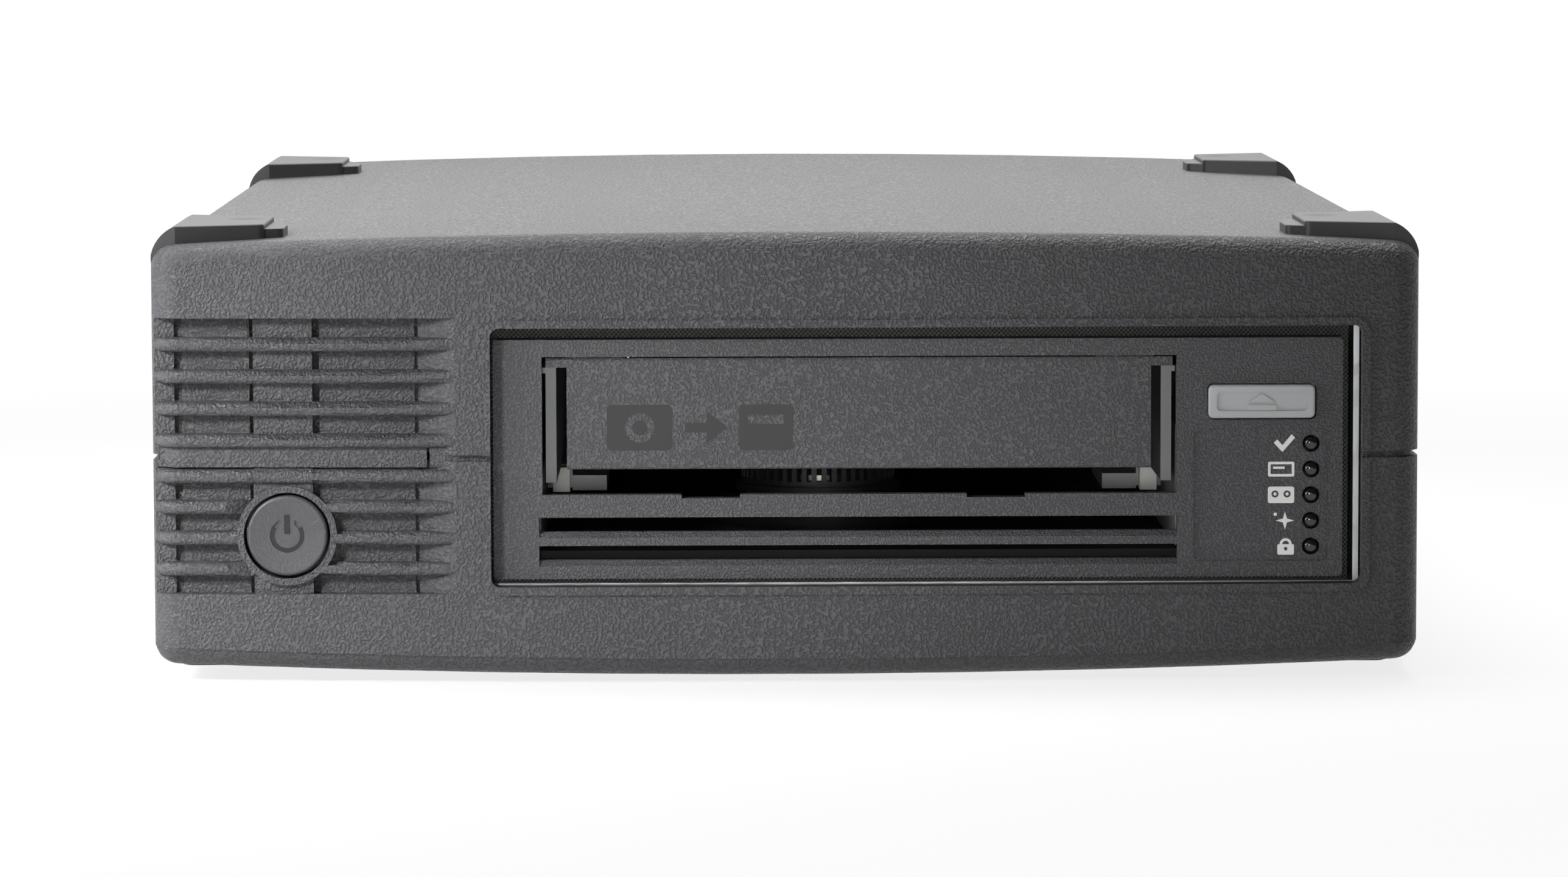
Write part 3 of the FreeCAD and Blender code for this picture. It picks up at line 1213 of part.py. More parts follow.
def cable(points, radius, bend):
    """Round cable along straight runs joined by tangent arcs."""
    runs = []
    last = V(*points[0])
    for a, b, c in zip(points, points[1:], points[2:]):
        a, b, c = V(*a), V(*b), V(*c)
        into, out = (a - b).normalize(), (c - b).normalize()
        half = into.getAngle(out) / 2
        back_off = bend / math.tan(half)
        start, end = b + into * back_off, b + out * back_off
        middle_dir = (into + out).normalize()
        centre = b + middle_dir * (bend / math.sin(half))
        middle = centre - middle_dir * bend
        runs.append(Part.LineSegment(last, start).toShape())
        runs.append(Part.Arc(start, middle, end).toShape())
        last = end
    runs.append(Part.LineSegment(last, V(*points[-1])).toShape())
    path = Part.Wire(runs)
    heading = V(*points[1]) - V(*points[0])
    profile = Part.Wire(Part.makeCircle(radius, V(*points[0]), heading))
    solid = path.makePipeShell([profile], True, False)
    print("cable bend", bend, "length", round(path.Length, 1), "volume ratio",
          round(solid.Volume / (math.pi * radius ** 2 * path.Length), 4))
    return solid


def cables():
    board_top = socket_z - socket_height / 2
    start, plug_z, on_board = drive_back + 2, plug_low + 4.5, socket_spots[0] + 12
    data_x, power_x0, lead_x = plug_x + 20, plug_x + 6, tray_right - 4.8
    data = cable([(data_x, start, plug_z), (data_x, start + 16, plug_z),
                  (on_board, back - 56, board_top + 1.9),
                  (on_board, back - 44, board_top + 1.9)], 1.6, 5.0)
    power = cable([(lead_x, tray_back - 3, cavity_low + 12.25), (lead_x, tray_back + 11, cavity_low + 12.25),
                   (power_x0 - 56, start + 32, plug_z - 6.5), (power_x0 - 26, start + 24, plug_z + 1.5),
                   (power_x0, start + 16, plug_z), (power_x0, start, plug_z)], 1.4, 6.0)
    return data, power


# ---------------------------------------------------------------- build
def build():
    upper, lower = shells()
    form = case_form()
    write("upper_shell", upper)
    write("lower_shell", lower)
    write("top_feet", top_feet(form))
    write("bottom_feet", bottom_feet(form))
    write("case_screws", case_screws())
    button, switch, bracket = power_parts()
    write("power_button", button)
    write("power_switch", switch)
    write("switch_bracket", bracket)
    write("drive_bezel", bezel())
    door, pin, spring = door_parts()
    write("cartridge_door", door)
    write("door_hinge_pin", pin)
    write("door_spring", spring)
    key, lamp_board, switch_key, lamps = eject_parts()
    write("eject_button", key)
    write("front_board", [lamp_board, switch_key])
    write("status_lamps", lamps)
    write("shield_gasket", gasket())
    write("drive_cage", cage())
    write("drive_screws", drive_screws())
    write("mount_bushes", bushes())
    write("drive_base", drive_base())
    write("drive_cover", drive_cover())
    write("main_board", main_board())
    write("rear_connector", rear_connector())
    hub, magnet, motor = hub_parts()
    write("drive_hub", hub)
    write("hub_magnet", magnet)
    write("hub_motor", motor)
    reel, motor = reel_parts()
    write("take_up_reel", reel)
    write("reel_motor", motor)
    for i, (x, y) in enumerate(roller_spots, 1):
        write("guide_roller_%d" % i, roller(x, y))
    block, coil, head, shafts, yoke = head_parts()
    write("head_carriage", [block, coil])
    write("tape_head", head)
    write("head_shafts", shafts)
    write("head_magnet", yoke)
    arm, arm_pin = threader()
    write("threader_arm", arm)
    write("loader_sled", sled())
    guides, blocks = carrier()
    write("carrier_guides", guides)
    write("carrier_blocks", blocks)
    big, small, motor, axle = loader_parts()
    write("loader_gear", big)
    write("loader_pinion", small)
    write("loader_motor", motor)
    write("transport_pins", roller_shafts() + [arm_pin, axle])
    tray, board, stands, screws, transformer, caps, sinks = supply_parts()
    write("supply_tray", tray)
    write("supply_board", board)
    write("supply_stands", stands)
    write("supply_transformer", transformer)
    write("supply_capacitors", caps)
    write("supply_heat_sinks", sinks)
    write("rear_panel", rear_parts())
    frame, rotor, guard, fan_screws = fan_parts()
    write("fan_frame", frame)
    write("fan_rotor", rotor)
    write("fan_guard", guard)
    write("small_screws", fan_screws + screws)
    body, pins = inlet_parts()
    write("mains_inlet", [body] + pins)
    sockets, tongues, board, legs = socket_parts()
    write("data_sockets", sockets)
    write("interface_board", [board] + tongues + legs)
    data, power = cables()
    write("inner_cables", [data, power])


build()
os.makedirs("parts", exist_ok=True)
for name, shape in parts.items():
    shape.exportStep(os.path.join("parts", name + ".step"))
print(len(parts), "sub-parts")
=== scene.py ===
"""Looks of the desktop tape drive: finishes, small marks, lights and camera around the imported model."""
import bpy
import math
from mathutils import Matrix, Vector


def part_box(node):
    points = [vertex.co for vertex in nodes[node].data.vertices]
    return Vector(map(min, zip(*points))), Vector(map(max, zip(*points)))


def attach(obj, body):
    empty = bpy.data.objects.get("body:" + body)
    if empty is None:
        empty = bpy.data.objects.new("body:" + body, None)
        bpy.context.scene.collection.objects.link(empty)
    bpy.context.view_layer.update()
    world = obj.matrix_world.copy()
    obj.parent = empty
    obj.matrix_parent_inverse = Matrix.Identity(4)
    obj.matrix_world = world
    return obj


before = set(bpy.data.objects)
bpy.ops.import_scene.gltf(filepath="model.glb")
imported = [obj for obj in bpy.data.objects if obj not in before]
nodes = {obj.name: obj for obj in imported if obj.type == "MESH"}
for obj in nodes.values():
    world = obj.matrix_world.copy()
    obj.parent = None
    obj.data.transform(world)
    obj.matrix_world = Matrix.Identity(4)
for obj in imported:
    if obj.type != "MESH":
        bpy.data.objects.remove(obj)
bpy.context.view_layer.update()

MM = 0.001


# ---------------------------------------------------------------- colour and node helpers
def linear(hex_colour):
    """An sRGB hex colour as linear RGBA."""
    channels = [int(hex_colour[i:i + 2], 16) / 255 for i in (1, 3, 5)]
    return [c / 12.92 if c <= 0.04045 else ((c + 0.055) / 1.055) ** 2.4 for c in channels] + [1.0]


def add(tree, kind, settings=None, **inputs):
    """Adds one node. A setting is a property, an input a value or a socket, named or numbered as i0, i1."""
    node = tree.nodes.new(kind)
    for key, value in (settings or {}).items():
        setattr(node, key, value)
    for key, value in inputs.items():
        numbered = key[0] == "i" and key[1:].isdigit()
        socket = node.inputs[int(key[1:]) if numbered else key.replace("_", " ")]
        if isinstance(value, bpy.types.NodeSocket):
            tree.links.new(value, socket)
        else:
            socket.default_value = value
    return node


def per_mm(size):
    """Texture scale at which a pattern repeats about every size millimetres."""
    return 1.0 / (size * MM)


def new_material(name):
    """An empty material, its node tree and the place on the object in metres."""
    material = bpy.data.materials.new(name)
    material.use_nodes = True
    tree = material.node_tree
    tree.nodes.clear()
    return material, tree, add(tree, "ShaderNodeTexCoord").outputs["Object"]


def solid(tree, colour, height, depth, rough, hollow, spread, **fixed):
    """Shader whose tone and roughness follow a surface height of 0 to 1, with a faint broad cloud over it.

    The height is depth mm at most. Low spots take hollow times the colour and are rougher by spread; on
    grained plastic that darkening is painted shade in the grain's valleys. High spots are a shade lighter,
    a painted highlight. fixed goes to the shader's own sockets.
    """
    # Painted highlight: high spots are drawn a shade lighter than the colour.
    painted_crest_highlight = 1.03
    cloud_size, cloud_share = 45.0, 0.05
    noise_low, noise_high = 0.3, 0.7
    place = tree.nodes[0].outputs["Object"]
    cloud = add(tree, "ShaderNodeTexNoise", Vector=place, Scale=per_mm(cloud_size), Detail=2.0)
    wash = add(tree, "ShaderNodeMapRange", Value=cloud.outputs["Fac"], From_Min=noise_low,
               From_Max=noise_high, To_Min=1 - cloud_share, To_Max=1 + cloud_share)
    tone = add(tree, "ShaderNodeMapRange", Value=height, To_Min=hollow, To_Max=painted_crest_highlight)
    both = add(tree, "ShaderNodeMath", {"operation": "MULTIPLY"}, i0=tone.outputs[0], i1=wash.outputs[0])
    if isinstance(colour, str):
        colour = linear(colour)[:3]
    base = add(tree, "ShaderNodeVectorMath", {"operation": "SCALE"}, i0=colour, Scale=both.outputs[0])
    roughness = add(tree, "ShaderNodeMapRange", Value=height, To_Min=min(rough + spread, 1.0), To_Max=rough)
    bump = add(tree, "ShaderNodeBump", Distance=depth * MM, Height=height)
    shader = add(tree, "ShaderNodeBsdfPrincipled", Base_Color=base.outputs[0],
                 Roughness=roughness.outputs[0], Normal=bump.outputs[0], **fixed)
    add(tree, "ShaderNodeOutputMaterial", Surface=shader.outputs[0])


# ---------------------------------------------------------------- finishes
def spark_textured(name, colour, grain, depth, rough, hollow, **fixed):
    """Plastic from a spark-eroded mould: soft pebbles, each lit on one side, that break up the shine.

    The real grain is 0.1 to 0.2 mm across. It is drawn at grain mm, about three times as coarse, because it
    would not show otherwise. The valleys are darkened to hollow times the colour, as painted shade, and the
    tops are lightened a little, as a painted highlight.
    """
    material, tree, place = new_material(name)
    warp_size, warp_reach = grain * 2.2, grain * 0.9
    valley, plateau = 0.36, 0.62
    warp = add(tree, "ShaderNodeTexNoise", Vector=place, Scale=per_mm(warp_size), Detail=1.0)
    bent = add(tree, "ShaderNodeVectorMath", {"operation": "MULTIPLY_ADD"}, i0=warp.outputs["Color"],
               i1=(warp_reach * MM,) * 3, i2=place)
    pebble = add(tree, "ShaderNodeTexNoise", Vector=bent.outputs[0], Scale=per_mm(grain), Detail=1.2,
                 Roughness=0.45)
    height = add(tree, "ShaderNodeMapRange", {"interpolation_type": "SMOOTHSTEP"},
                 Value=pebble.outputs["Fac"], From_Min=valley, From_Max=plateau)
    # Painted shade in the pebbles' valleys and a painted highlight on their tops, through the tone.
    solid(tree, colour, height.outputs[0], depth, rough, hollow, spread=0.12, **fixed)
    return material


def plain_moulded(name, colour, rough, **fixed):
    """Plastic or rubber from a polished or lapped mould: nearly even, with faint flow marks and fine haze."""
    material, tree, place = new_material(name)
    haze = add(tree, "ShaderNodeTexNoise", Vector=place, Scale=per_mm(0.5), Detail=3.0)
    solid(tree, colour, haze.outputs["Fac"], depth=0.01, rough=rough, hollow=0.94, spread=0.08, **fixed)
    return material


def drawn(name, colour, rough, grain, along, depth):
    """Metal with fine straight lines from rolling, turning or brushing, grain mm apart, run along an axis."""
    material, tree, place = new_material(name)
    line_stretch = 0.04
    stretch = [line_stretch if axis == along else 1.0 for axis in "XYZ"]
    lines = add(tree, "ShaderNodeMapping", Vector=place, Scale=stretch)
    scratch = add(tree, "ShaderNodeTexNoise", Vector=lines.outputs[0], Scale=per_mm(grain), Detail=2.0)
    solid(tree, colour, scratch.outputs["Fac"], depth, rough, hollow=0.85, spread=0.1, Metallic=1.0)
    return material


def zinc_plated(name, colour, flake):
    """Steel plated with zinc: pale grey metal whose crystals, flake mm across, differ a little in tone."""
    material, tree, place = new_material(name)
    crystal = add(tree, "ShaderNodeTexVoronoi", Vector=place, Scale=per_mm(flake))
    level = add(tree, "ShaderNodeSeparateColor", Color=crystal.outputs["Color"])
    solid(tree, colour, level.outputs[0], depth=0.004, rough=0.34, hollow=0.86, spread=0.1, Metallic=1.0)
    return material


def cast(name, colour, grain, rough):
    """Die-cast aluminium: dull grey metal with a sandy skin left by the die."""
    material, tree, place = new_material(name)
    sand = add(tree, "ShaderNodeTexNoise", Vector=place, Scale=per_mm(grain), Detail=4.0)
    solid(tree, colour, sand.outputs["Fac"], depth=0.05, rough=rough, hollow=0.8, spread=0.15,
          Metallic=1.0)
    return material


def knitted_wire():
    """Gasket of knitted wire over foam: fine crossing threads with dark holes between them.

    The real threads are 0.1 mm thick. Their spacing is drawn at 0.55 mm so that the mesh shows.
    """
    material, tree, place = new_material("knitted_wire_mesh")
    spacing = 0.55
    turned = add(tree, "ShaderNodeMapping", Vector=place, Rotation=(0, math.radians(45), 0))
    split = add(tree, "ShaderNodeSeparateXYZ", Vector=turned.outputs[0])
    waves = []
    for axis in (0, 2):
        angle = add(tree, "ShaderNodeMath", {"operation": "MULTIPLY"}, i0=split.outputs[axis],
                    i1=2 * math.pi * per_mm(spacing))
        waves.append(add(tree, "ShaderNodeMath", {"operation": "SINE"}, i0=angle.outputs[0]).outputs[0])
    crossed = add(tree, "ShaderNodeMath", {"operation": "MAXIMUM"}, i0=waves[0], i1=waves[1])
    height = add(tree, "ShaderNodeMapRange", Value=crossed.outputs[0], From_Min=0.1, From_Max=1.0)
    solid(tree, "#6a6a68", height.outputs[0], depth=0.12, rough=0.42, hollow=0.12, spread=0.2,
          Metallic=0.6)
    return material


def solder_mask(name, mask, split_axis=None, split_at=0.0, part_colour=None):
    """Printed board: glossy lacquer over raised copper tracks.

    Real tracks are a few tenths of a millimetre apart. They are drawn some millimetres apart so that they
    show. Where a split is given, what lies below it on that axis is the black epoxy of the board's parts.
    """
    material, tree, place = new_material(name)
    track_field, copper_glow = 14.0, 1.9
    track = add(tree, "ShaderNodeTexBrick", {"offset": 0.3}, Vector=place, Scale=per_mm(track_field),
                Mortar_Size=0.03)
    raised = track.outputs["Fac"]
    colour = add(tree, "ShaderNodeMix", {"data_type": "RGBA"}, i0=raised, i6=linear(mask),
                 i7=[min(1, copper_glow * c) for c in linear(mask)])
    result = colour.outputs[2]
    if split_axis is not None:
        level = add(tree, "ShaderNodeSeparateXYZ", Vector=place)
        past = add(tree, "ShaderNodeMath", {"operation": "GREATER_THAN"}, i0=level.outputs[split_axis],
                   i1=split_at)
        other = add(tree, "ShaderNodeMix", {"data_type": "RGBA"}, i0=past.outputs[0],
                    i6=linear(part_colour), i7=result)
        result = other.outputs[2]
    solid(tree, result, raised, depth=0.03, rough=0.3, hollow=0.9, spread=0.05)
    return material


def laminated_steel():
    """Transformer core: thin steel plates in a stack, varnished dark, with a joint line between plates.

    The plates are 0.5 mm thick. The wave's bands come out about six times as wide, which lets them show.
    """
    material, tree, place = new_material("laminated_silicon_steel")
    plate, wave_rate = 0.5, 20
    plates = add(tree, "ShaderNodeTexWave", {"bands_direction": "Y", "wave_profile": "SAW"}, Vector=place,
                 Scale=per_mm(plate) / wave_rate)
    solid(tree, "#5b5a58", plates.outputs["Fac"], depth=0.06, rough=0.4, hollow=0.6, spread=0.15,
          Metallic=0.8)
    return material


# ---------------------------------------------------------------- marks
def circle(x, z, radius):
    """A closed loop of points round a middle."""
    steps = 36
    return [(x + radius * math.cos(2 * math.pi * i / steps), z + radius * math.sin(2 * math.pi * i / steps))
            for i in range(steps)]


def rectangle(x0, x1, z0, z1, corner=0.0):
    """A closed loop round a rectangle, with rounded corners where a radius is given."""
    if not corner:
        return [(x0, z0), (x1, z0), (x1, z1), (x0, z1)]
    step = 15
    loop = []
    for x, z, start in ((x1 - corner, z1 - corner, 0), (x0 + corner, z1 - corner, 90),
                        (x0 + corner, z0 + corner, 180), (x1 - corner, z0 + corner, 270)):
        for turn in range(0, 90 + step, step):
            angle = math.radians(start + turn)
            loop.append((x + corner * math.cos(angle), z + corner * math.sin(angle)))
    return loop


def bow(x, z, outer, inner, start, end):
    """A band of a ring, from start to end degrees."""
    steps = 28
    angles = [math.radians(start + (end - start) * i / steps) for i in range(steps + 1)]
    return ([(x + outer * math.cos(a), z + outer * math.sin(a)) for a in angles]
            + [(x + inner * math.cos(a), z + inner * math.sin(a)) for a in reversed(angles)])


def front_mark(name, loops, place, thick, material, body):
    """A flat mark that faces the front, from closed loops of (x, z) in mm about a place.

    An inner loop is a hole. Half of the thickness lies on each side of the place.
    """
    curve = bpy.data.curves.new(name, "CURVE")
    curve.dimensions = "2D"
    curve.fill_mode = "BOTH"
    curve.extrude = thick / 2
    for loop in loops:
        spline = curve.splines.new("POLY")
        spline.points.add(len(loop) - 1)
        for point, (x, z) in zip(spline.points, loop):
            point.co = (x * MM, z * MM, 0, 1)
        spline.use_cyclic_u = True
    drawing = bpy.data.objects.new(name, curve)
    bpy.context.scene.collection.objects.link(drawing)
    bpy.context.view_layer.update()
    mesh = bpy.data.meshes.new_from_object(drawing)
    bpy.data.objects.remove(drawing)
    mesh.transform(Matrix.Translation(place) @ Matrix.Rotation(math.radians(90), 4, "X"))
    mesh.materials.clear()
    mesh.materials.append(material)
    piece = bpy.data.objects.new(name, mesh)
    bpy.context.scene.collection.objects.link(piece)
    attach(piece, body)


def lamp_pictograms(ink):
    """A white pad-printed sign to the left of each lamp: ready, drive, tape, clean and locked."""
    low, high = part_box("status_lamps")
    bezel_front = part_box("drive_bezel")[0].y
    panel_sunk, ink_thick = 0.33, 0.04
    lamp_to_sign = 2.9
    signs = {
        "tick": [[(-3.6, 0.1), (-3.0, 0.7), (-2.1, -0.3), (-0.5, 1.6), (0.1, 1.0), (-2.1, -1.5)]],
        "drive": [rectangle(-4.6, 0, -1.3, 1.3, 0.3), rectangle(-4.15, -0.45, -0.85, 0.85, 0.1),
                  rectangle(-3.7, -1.7, 0.05, 0.45)],
        "tape": [rectangle(-4.6, 0, -1.45, 1.45, 0.4), circle(-3.35, 0.15, 0.62), circle(-3.35, 0.15, 0.28),
                 circle(-1.25, 0.15, 0.62), circle(-1.25, 0.15, 0.28)],
        "clean": [[(-1.6, 1.6), (-1.25, 0.35), (0, 0), (-1.25, -0.35), (-1.6, -1.6), (-1.95, -0.35),
                   (-3.2, 0), (-1.95, 0.35)], circle(-3.3, 1.1, 0.3)],
        "locked": [rectangle(-2.9, 0, -1.5, 0.35, 0.25), circle(-1.45, -0.45, 0.32),
                   bow(-1.45, 0.35, 1.05, 0.6, 0, 180)],
    }
    lamp = (high.x - low.x) / 2
    pitch = (high.z - low.z - 2 * lamp) / (len(signs) - 1)
    right, panel = low.x + lamp - lamp_to_sign * MM, bezel_front + panel_sunk * MM
    for i, (name, loops) in enumerate(signs.items()):
        spot = Vector((right, panel, high.z - lamp - i * pitch))
        front_mark("sign_" + name, loops, spot, ink_thick * MM, ink, "case")


def loading_pictogram(gloss):
    """Polished sign on the door's left, level with its grained face: a cartridge, an arrow and a drive."""
    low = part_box("cartridge_door")[0]
    from_left, from_foot, proud, thick = 10.6, 3.3, 0.02, 0.06
    cartridge = [rectangle(0, 11.4, 0, 8.0, 0.9), circle(5.7, 4.0, 2.6), circle(5.7, 4.0, 1.3)]
    arrow = [(13.6, 3.2), (17.4, 3.2), (17.4, 1.2), (21.0, 4.0), (17.4, 6.8), (17.4, 4.8), (13.6, 4.8)]
    drive = [rectangle(23.0, 32.4, 0, 8.0, 0.9), rectangle(24.6, 30.8, 4.6, 6.2)]
    corner = Vector((low.x + from_left * MM, low.y - proud * MM, low.z + from_foot * MM))
    front_mark("loading_sign", cartridge + [arrow] + drive, corner, thick * MM, gloss, "door")


def standby_inlay(gloss):
    """Glossy inlay in the sunk sign of the power button: a bar inside an open ring."""
    low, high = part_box("power_button")
    sunk, thick = 0.42, 0.3
    middle = Vector(((low.x + high.x) / 2, low.y + sunk * MM, (low.z + high.z) / 2))
    ring = [bow(0, 0, 2.9, 2.25, 148, 392)]
    bar = [rectangle(-0.42, 0.42, 0.4, 3.5, 0.12)]
    front_mark("standby_ring", ring, middle, thick * MM, gloss, "power")
    front_mark("standby_bar", bar, middle, thick * MM, gloss, "power")


# ---------------------------------------------------------------- camera, floor and lights
def place_camera():
    """Long lens a little above the drive, looking slightly down and to the right.

    Angles are in degrees, the lens and its sensor in mm, and the place is in mm of the drive's own frame.
    """
    pitch, yaw, roll = (math.radians(angle) for angle in (5.328, 0.620, -0.158))
    spot = Vector((-11.83, -1204.63, 141.21)) * MM
    ahead = Vector((math.sin(yaw) * math.cos(pitch), math.cos(yaw) * math.cos(pitch), -math.sin(pitch)))
    right = ahead.cross(Vector((0, 0, 1))).normalized()
    above = right.cross(ahead)
    turned_right = right * math.cos(roll) + above * math.sin(roll)
    turned_above = above * math.cos(roll) - right * math.sin(roll)
    data = bpy.data.cameras.new("camera")
    data.lens = 140.1
    data.sensor_width = 36.0
    data.clip_start = 0.05
    camera = bpy.data.objects.new("camera", data)
    bpy.context.scene.collection.objects.link(camera)
    turn = Matrix((turned_right, turned_above, -ahead)).transposed().to_4x4()
    camera.matrix_world = Matrix.Translation(spot) @ turn
    bpy.context.scene.camera = camera


def area_light(name, spot, aim, size, power, spread=180):
    """A soft box of size metres and power watts, which the camera itself does not see.

    A spread under 180 degrees is a honeycomb grid on it: the light falls off sideways.
    """
    data = bpy.data.lights.new(name, "AREA")
    data.shape = "RECTANGLE"
    data.size, data.size_y = size
    data.energy = power
    data.spread = math.radians(spread)
    light = bpy.data.objects.new(name, data)
    bpy.context.scene.collection.objects.link(light)
    light.location = spot
    light.visible_camera = False
    light.rotation_euler = (Vector(aim) - Vector(spot)).to_track_quat("-Z", "Y").to_euler()


def light_studio():
    """Soft light from the upper left that fades along the front, from above, and from behind."""
    area_light("front_grid", spot=(-0.62, -0.85, 0.5), aim=(-0.21, -0.15, 0.045), size=(0.2, 0.2),
               power=0.56, spread=25)
    area_light("left_near", spot=(-0.32, -0.24, 0.14), aim=(-0.09, -0.15, 0.045), size=(0.16, 0.16),
               power=0.8)
    area_light("front_fill", spot=(-0.05, -1.1, 0.1), aim=(0.01, -0.15, 0.042), size=(0.12, 0.12),
               power=0.03, spread=17)
    area_light("overhead", spot=(-0.05, 0.08, 0.6), aim=(-0.05, 0.02, 0.07), size=(0.6, 0.36),
               power=1.5, spread=80)
    area_light("back_softbox", spot=(0.0, 1.3, 0.6), aim=(0, 0.0, 0.07), size=(2.0, 0.6), power=5)


def white_to_camera(tree, share, lit, kind, glossy_share=1.0):
    """Mixes plain white into a shader where the camera sees it directly, in a reflection or through glass."""
    path = add(tree, "ShaderNodeLightPath")
    mirrored = add(tree, "ShaderNodeMath", {"operation": "MULTIPLY"}, i0=path.outputs["Is Glossy Ray"],
                   i1=glossy_share)
    bounced = add(tree, "ShaderNodeMath", {"operation": "MAXIMUM"}, i0=mirrored.outputs[0],
                  i1=path.outputs["Is Transmission Ray"])
    seen = add(tree, "ShaderNodeMath", {"operation": "MAXIMUM"}, i0=path.outputs["Is Camera Ray"],
               i1=bounced.outputs[0])
    part = add(tree, "ShaderNodeMath", {"operation": "MULTIPLY"}, i0=seen.outputs[0], i1=share)
    white = add(tree, kind, Color=(1, 1, 1, 1), Strength=1.0)
    return add(tree, "ShaderNodeMixShader", i0=part.outputs[0], i1=lit, i2=white.outputs[0]).outputs[0]


def make_floor():
    """Plain white paper floor with soft fibres, which keeps the drive's shadow and ends in white."""
    side, under_feet = 12.0, 0.2
    near, far, near_share = 0.16, 0.5, 0.8
    material, tree, place = new_material("white_paper")
    fibre = add(tree, "ShaderNodeTexNoise", Vector=place, Scale=per_mm(3.0), Detail=3.0)
    tone = add(tree, "ShaderNodeMapRange", Value=fibre.outputs["Fac"], To_Min=0.88, To_Max=0.92)
    paper = add(tree, "ShaderNodeBsdfDiffuse", Color=tone.outputs[0])
    away = add(tree, "ShaderNodeVectorMath", {"operation": "LENGTH"}, i0=place)
    white = add(tree, "ShaderNodeMapRange", Value=away.outputs["Value"], From_Min=near, From_Max=far,
                To_Min=near_share, To_Max=1.0)
    add(tree, "ShaderNodeOutputMaterial",
        Surface=white_to_camera(tree, white.outputs[0], paper.outputs[0], "ShaderNodeEmission"))
    bpy.ops.mesh.primitive_plane_add(size=side, location=(0, 0, -under_feet * MM))
    floor = bpy.context.object
    floor.name = "floor"
    floor.data.materials.append(material)


def make_world():
    """A white studio wall behind the drive, and a dim room in front of it."""
    room_level, wall_level = 0.05, 0.3
    wall_starts, wall_full = -0.1, 0.5
    world = bpy.data.worlds.new("studio")
    bpy.context.scene.world = world
    world.use_nodes = True
    tree = world.node_tree
    tree.nodes.clear()
    towards = add(tree, "ShaderNodeTexCoord").outputs["Generated"]
    ahead = add(tree, "ShaderNodeSeparateXYZ", Vector=towards)
    behind = add(tree, "ShaderNodeMapRange", Value=ahead.outputs[1], From_Min=wall_starts,
                 From_Max=wall_full)
    level = add(tree, "ShaderNodeMapRange", Value=behind.outputs[0], To_Min=room_level, To_Max=wall_level)
    soft = add(tree, "ShaderNodeBackground", Color=(1, 1, 1, 1), Strength=level.outputs[0])
    add(tree, "ShaderNodeOutputWorld",
        Surface=white_to_camera(tree, 1.0, soft.outputs[0], "ShaderNodeBackground", behind.outputs[0]))


# ---------------------------------------------------------------- dress the model
def wear(material, *names):
    """Gives a material to every slot of the named nodes."""
    for name in names:
        for slot in nodes[name].material_slots:
            slot.material = material


def dress_case():
    """The shells, feet, button and what shows of the drive's front."""
    # Painted shade darkens the grain's valleys here: to 0.7 of the colour on the shells, bezel and door, 0.9
    # on the button.
    wear(spark_textured("charcoal_spark_textured_abs", "#444446", grain=0.5, depth=0.13, rough=0.42,
                        hollow=0.7, Specular_IOR_Level=0.3), "upper_shell", "lower_shell")
    wear(spark_textured("charcoal_fine_textured_abs", "#4a4a4c", grain=0.4, depth=0.11, rough=0.42,
                        hollow=0.7, Specular_IOR_Level=0.3), "drive_bezel", "cartridge_door")
    wear(spark_textured("charcoal_satin_abs_button", "#3a3a3c", grain=0.4, depth=0.03, rough=0.38,
                        hollow=0.9), "power_button")
    # Moulded rubber: smooth, and darker than the grained shells it sits on.
    wear(plain_moulded("thermoplastic_rubber", "#2a2a2b", rough=0.45), "top_feet", "bottom_feet",
         "mount_bushes")
    wear(plain_moulded("light_grey_satin_pc_abs", "#a6a7a8", rough=0.42), "eject_button")
    # Dark tinted lenses: nearly black and glossy while the lamps are off.
    wear(plain_moulded("smoked_polycarbonate", "#151516", rough=0.08, IOR=1.58), "status_lamps")
    wear(knitted_wire(), "shield_gasket")


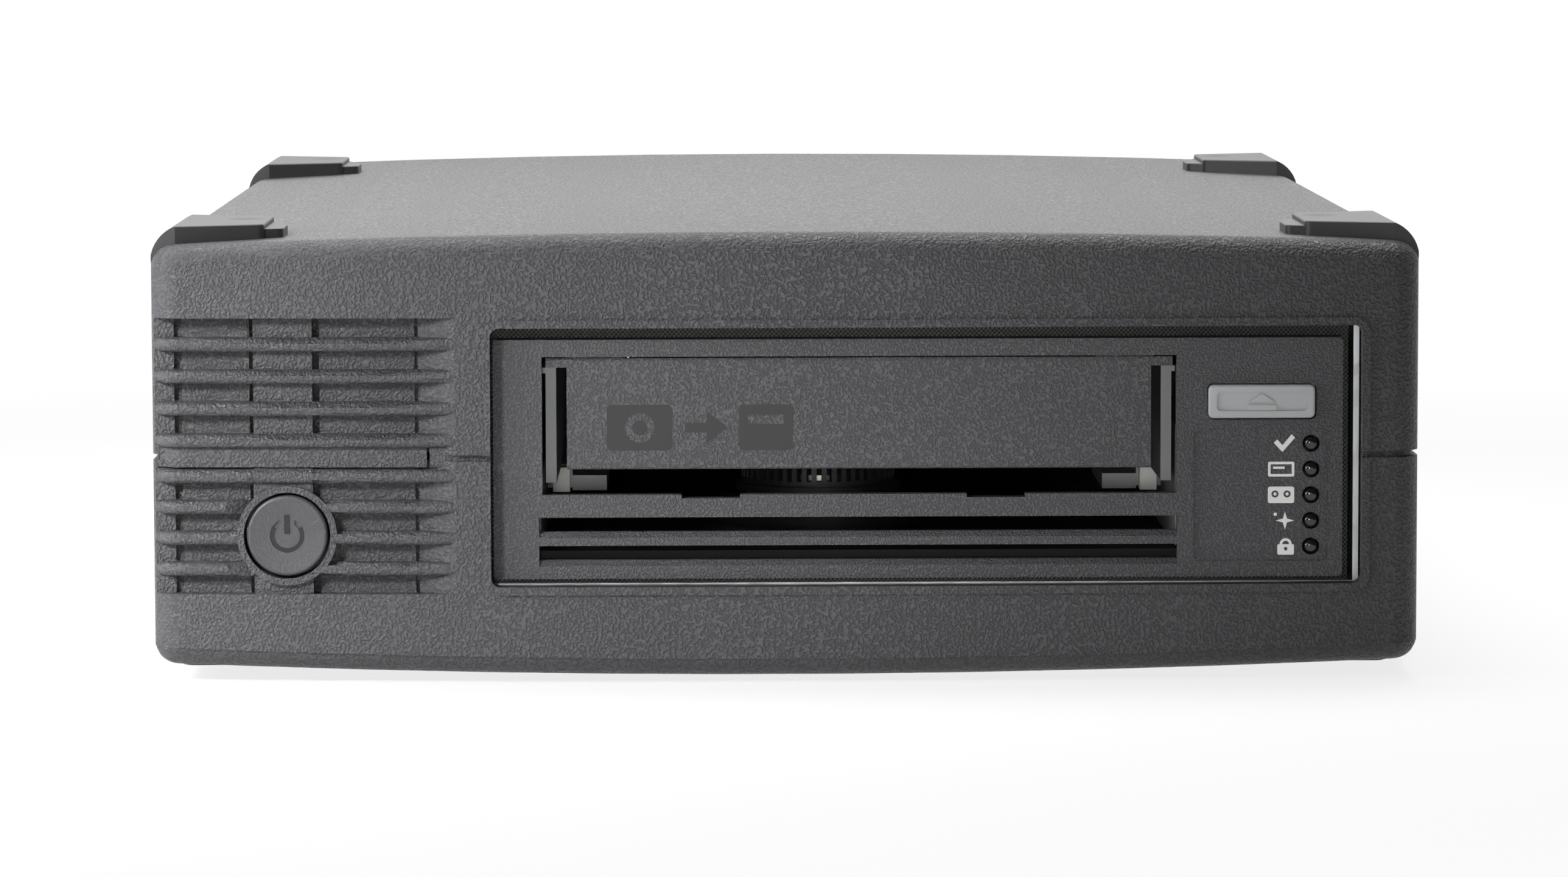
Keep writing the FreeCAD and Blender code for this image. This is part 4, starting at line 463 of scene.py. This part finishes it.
def dress_metal():
    """Sheet, cast, drawn and ground metal of the drive, the supply and the back."""
    wear(zinc_plated("zinc_plated_steel_sheet", "#b4b6b6", flake=3.0), "drive_cage", "switch_bracket",
         "supply_tray")
    wear(zinc_plated("zinc_plated_steel_screws", "#c2c2be", flake=0.8), "case_screws", "drive_screws",
         "small_screws")
    wear(cast("die_cast_aluminium", "#a3a5a6", grain=0.35, rough=0.5), "head_carriage")
    # Electrophoretic coating, partly painted shade: an even, dull near-black skin on the base and motors,
    # which keeps the slots under the door as dark as the shade inside the drive.
    wear(plain_moulded("black_coat_and_painted_shade", "#19191a", rough=0.6, Specular_IOR_Level=0.25),
         "drive_base", "hub_motor", "reel_motor", "loader_motor")
    wear(drawn("rolled_aluminium_sheet", "#bfc1c2", rough=0.32, grain=0.25, along="Y", depth=0.01),
         "drive_cover")
    wear(drawn("ground_stainless_steel", "#c9c8c4", rough=0.18, grain=0.1, along="Z", depth=0.003),
         "door_hinge_pin", "head_shafts", "transport_pins", "threader_arm")
    wear(drawn("spring_steel_wire", "#8d8f92", rough=0.25, grain=0.1, along="Y", depth=0.003), "door_spring")
    wear(drawn("turned_aluminium", "#d0d1d1", rough=0.25, grain=0.12, along="X", depth=0.004),
         *("guide_roller_%d" % i for i in range(1, 5)))
    wear(drawn("nickel_plated_steel", "#b9b5aa", rough=0.25, grain=0.3, along="Y", depth=0.003),
         "rear_connector", "data_sockets", "head_magnet", "hub_magnet")
    wear(drawn("black_anodised_aluminium", "#2b2c2e", rough=0.4, grain=0.2, along="Z", depth=0.01),
         "supply_heat_sinks")
    wear(drawn("chromed_wire", "#d5d6d7", rough=0.12, grain=0.2, along="X", depth=0.002), "fan_guard")
    # Powder coat: baked grains leave a fine even orange peel on the sheet, with a little painted shade in its
    # valleys.
    wear(spark_textured("black_powder_coated_steel", "#2f2f31", grain=0.5, depth=0.03, rough=0.5,
                        hollow=0.9), "rear_panel")
    wear(laminated_steel(), "supply_transformer")


def dress_inside():
    """Moulded, printed and sintered pieces of the drive, the supply and the fan."""
    board_thick = 1.7
    board_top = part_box("main_board")[1].z
    wear(plain_moulded("black_glass_filled_nylon", "#1d1d1e", rough=0.5), "power_switch", "drive_hub",
         "take_up_reel", "mains_inlet")
    # Acetal: a waxy plastic with a soft sheen, white or grey by its dye.
    wear(plain_moulded("grey_acetal", "#8b8c8b", rough=0.4), "carrier_guides", "loader_sled")
    wear(plain_moulded("white_acetal", "#e4e3dd", rough=0.38), "carrier_blocks", "loader_gear",
         "loader_pinion", "supply_stands")
    wear(solder_mask("green_solder_mask", "#1f4a2c"), "supply_board", "front_board", "interface_board")
    wear(solder_mask("green_solder_mask_and_epoxy_chips", "#1f4a2c", split_axis=2,
                     split_at=board_top - board_thick * MM, part_colour="#1b1b1c"), "main_board")
    # Polished ceramic: hard, dark and mirror-like, as the tape runs over it.
    wear(plain_moulded("sintered_head_ceramic", "#2e2f31", rough=0.12), "tape_head")
    wear(plain_moulded("blue_capacitor_sleeve", "#20406e", rough=0.35), "supply_capacitors")
    wear(plain_moulded("black_pbt_fan_plastic", "#232324", rough=0.42), "fan_frame", "fan_rotor")
    wear(plain_moulded("black_pvc_cable", "#1b1b1c", rough=0.45), "inner_cables")


def add_marks():
    """Printed and polished signs that lie on the front or in it."""
    lamp_pictograms(plain_moulded("white_pad_printing_ink", "#dededc", rough=0.6))
    loading_pictogram(plain_moulded("polished_charcoal_abs", "#2a2a2b", rough=0.45, Specular_IOR_Level=0.3))
    standby_inlay(plain_moulded("black_gloss_polycarbonate", "#1a1a1b", rough=0.12))


dress_case()
dress_metal()
dress_inside()
add_marks()
place_camera()
make_floor()
make_world()
light_studio()

bpy.context.scene.view_settings.view_transform = "Standard"
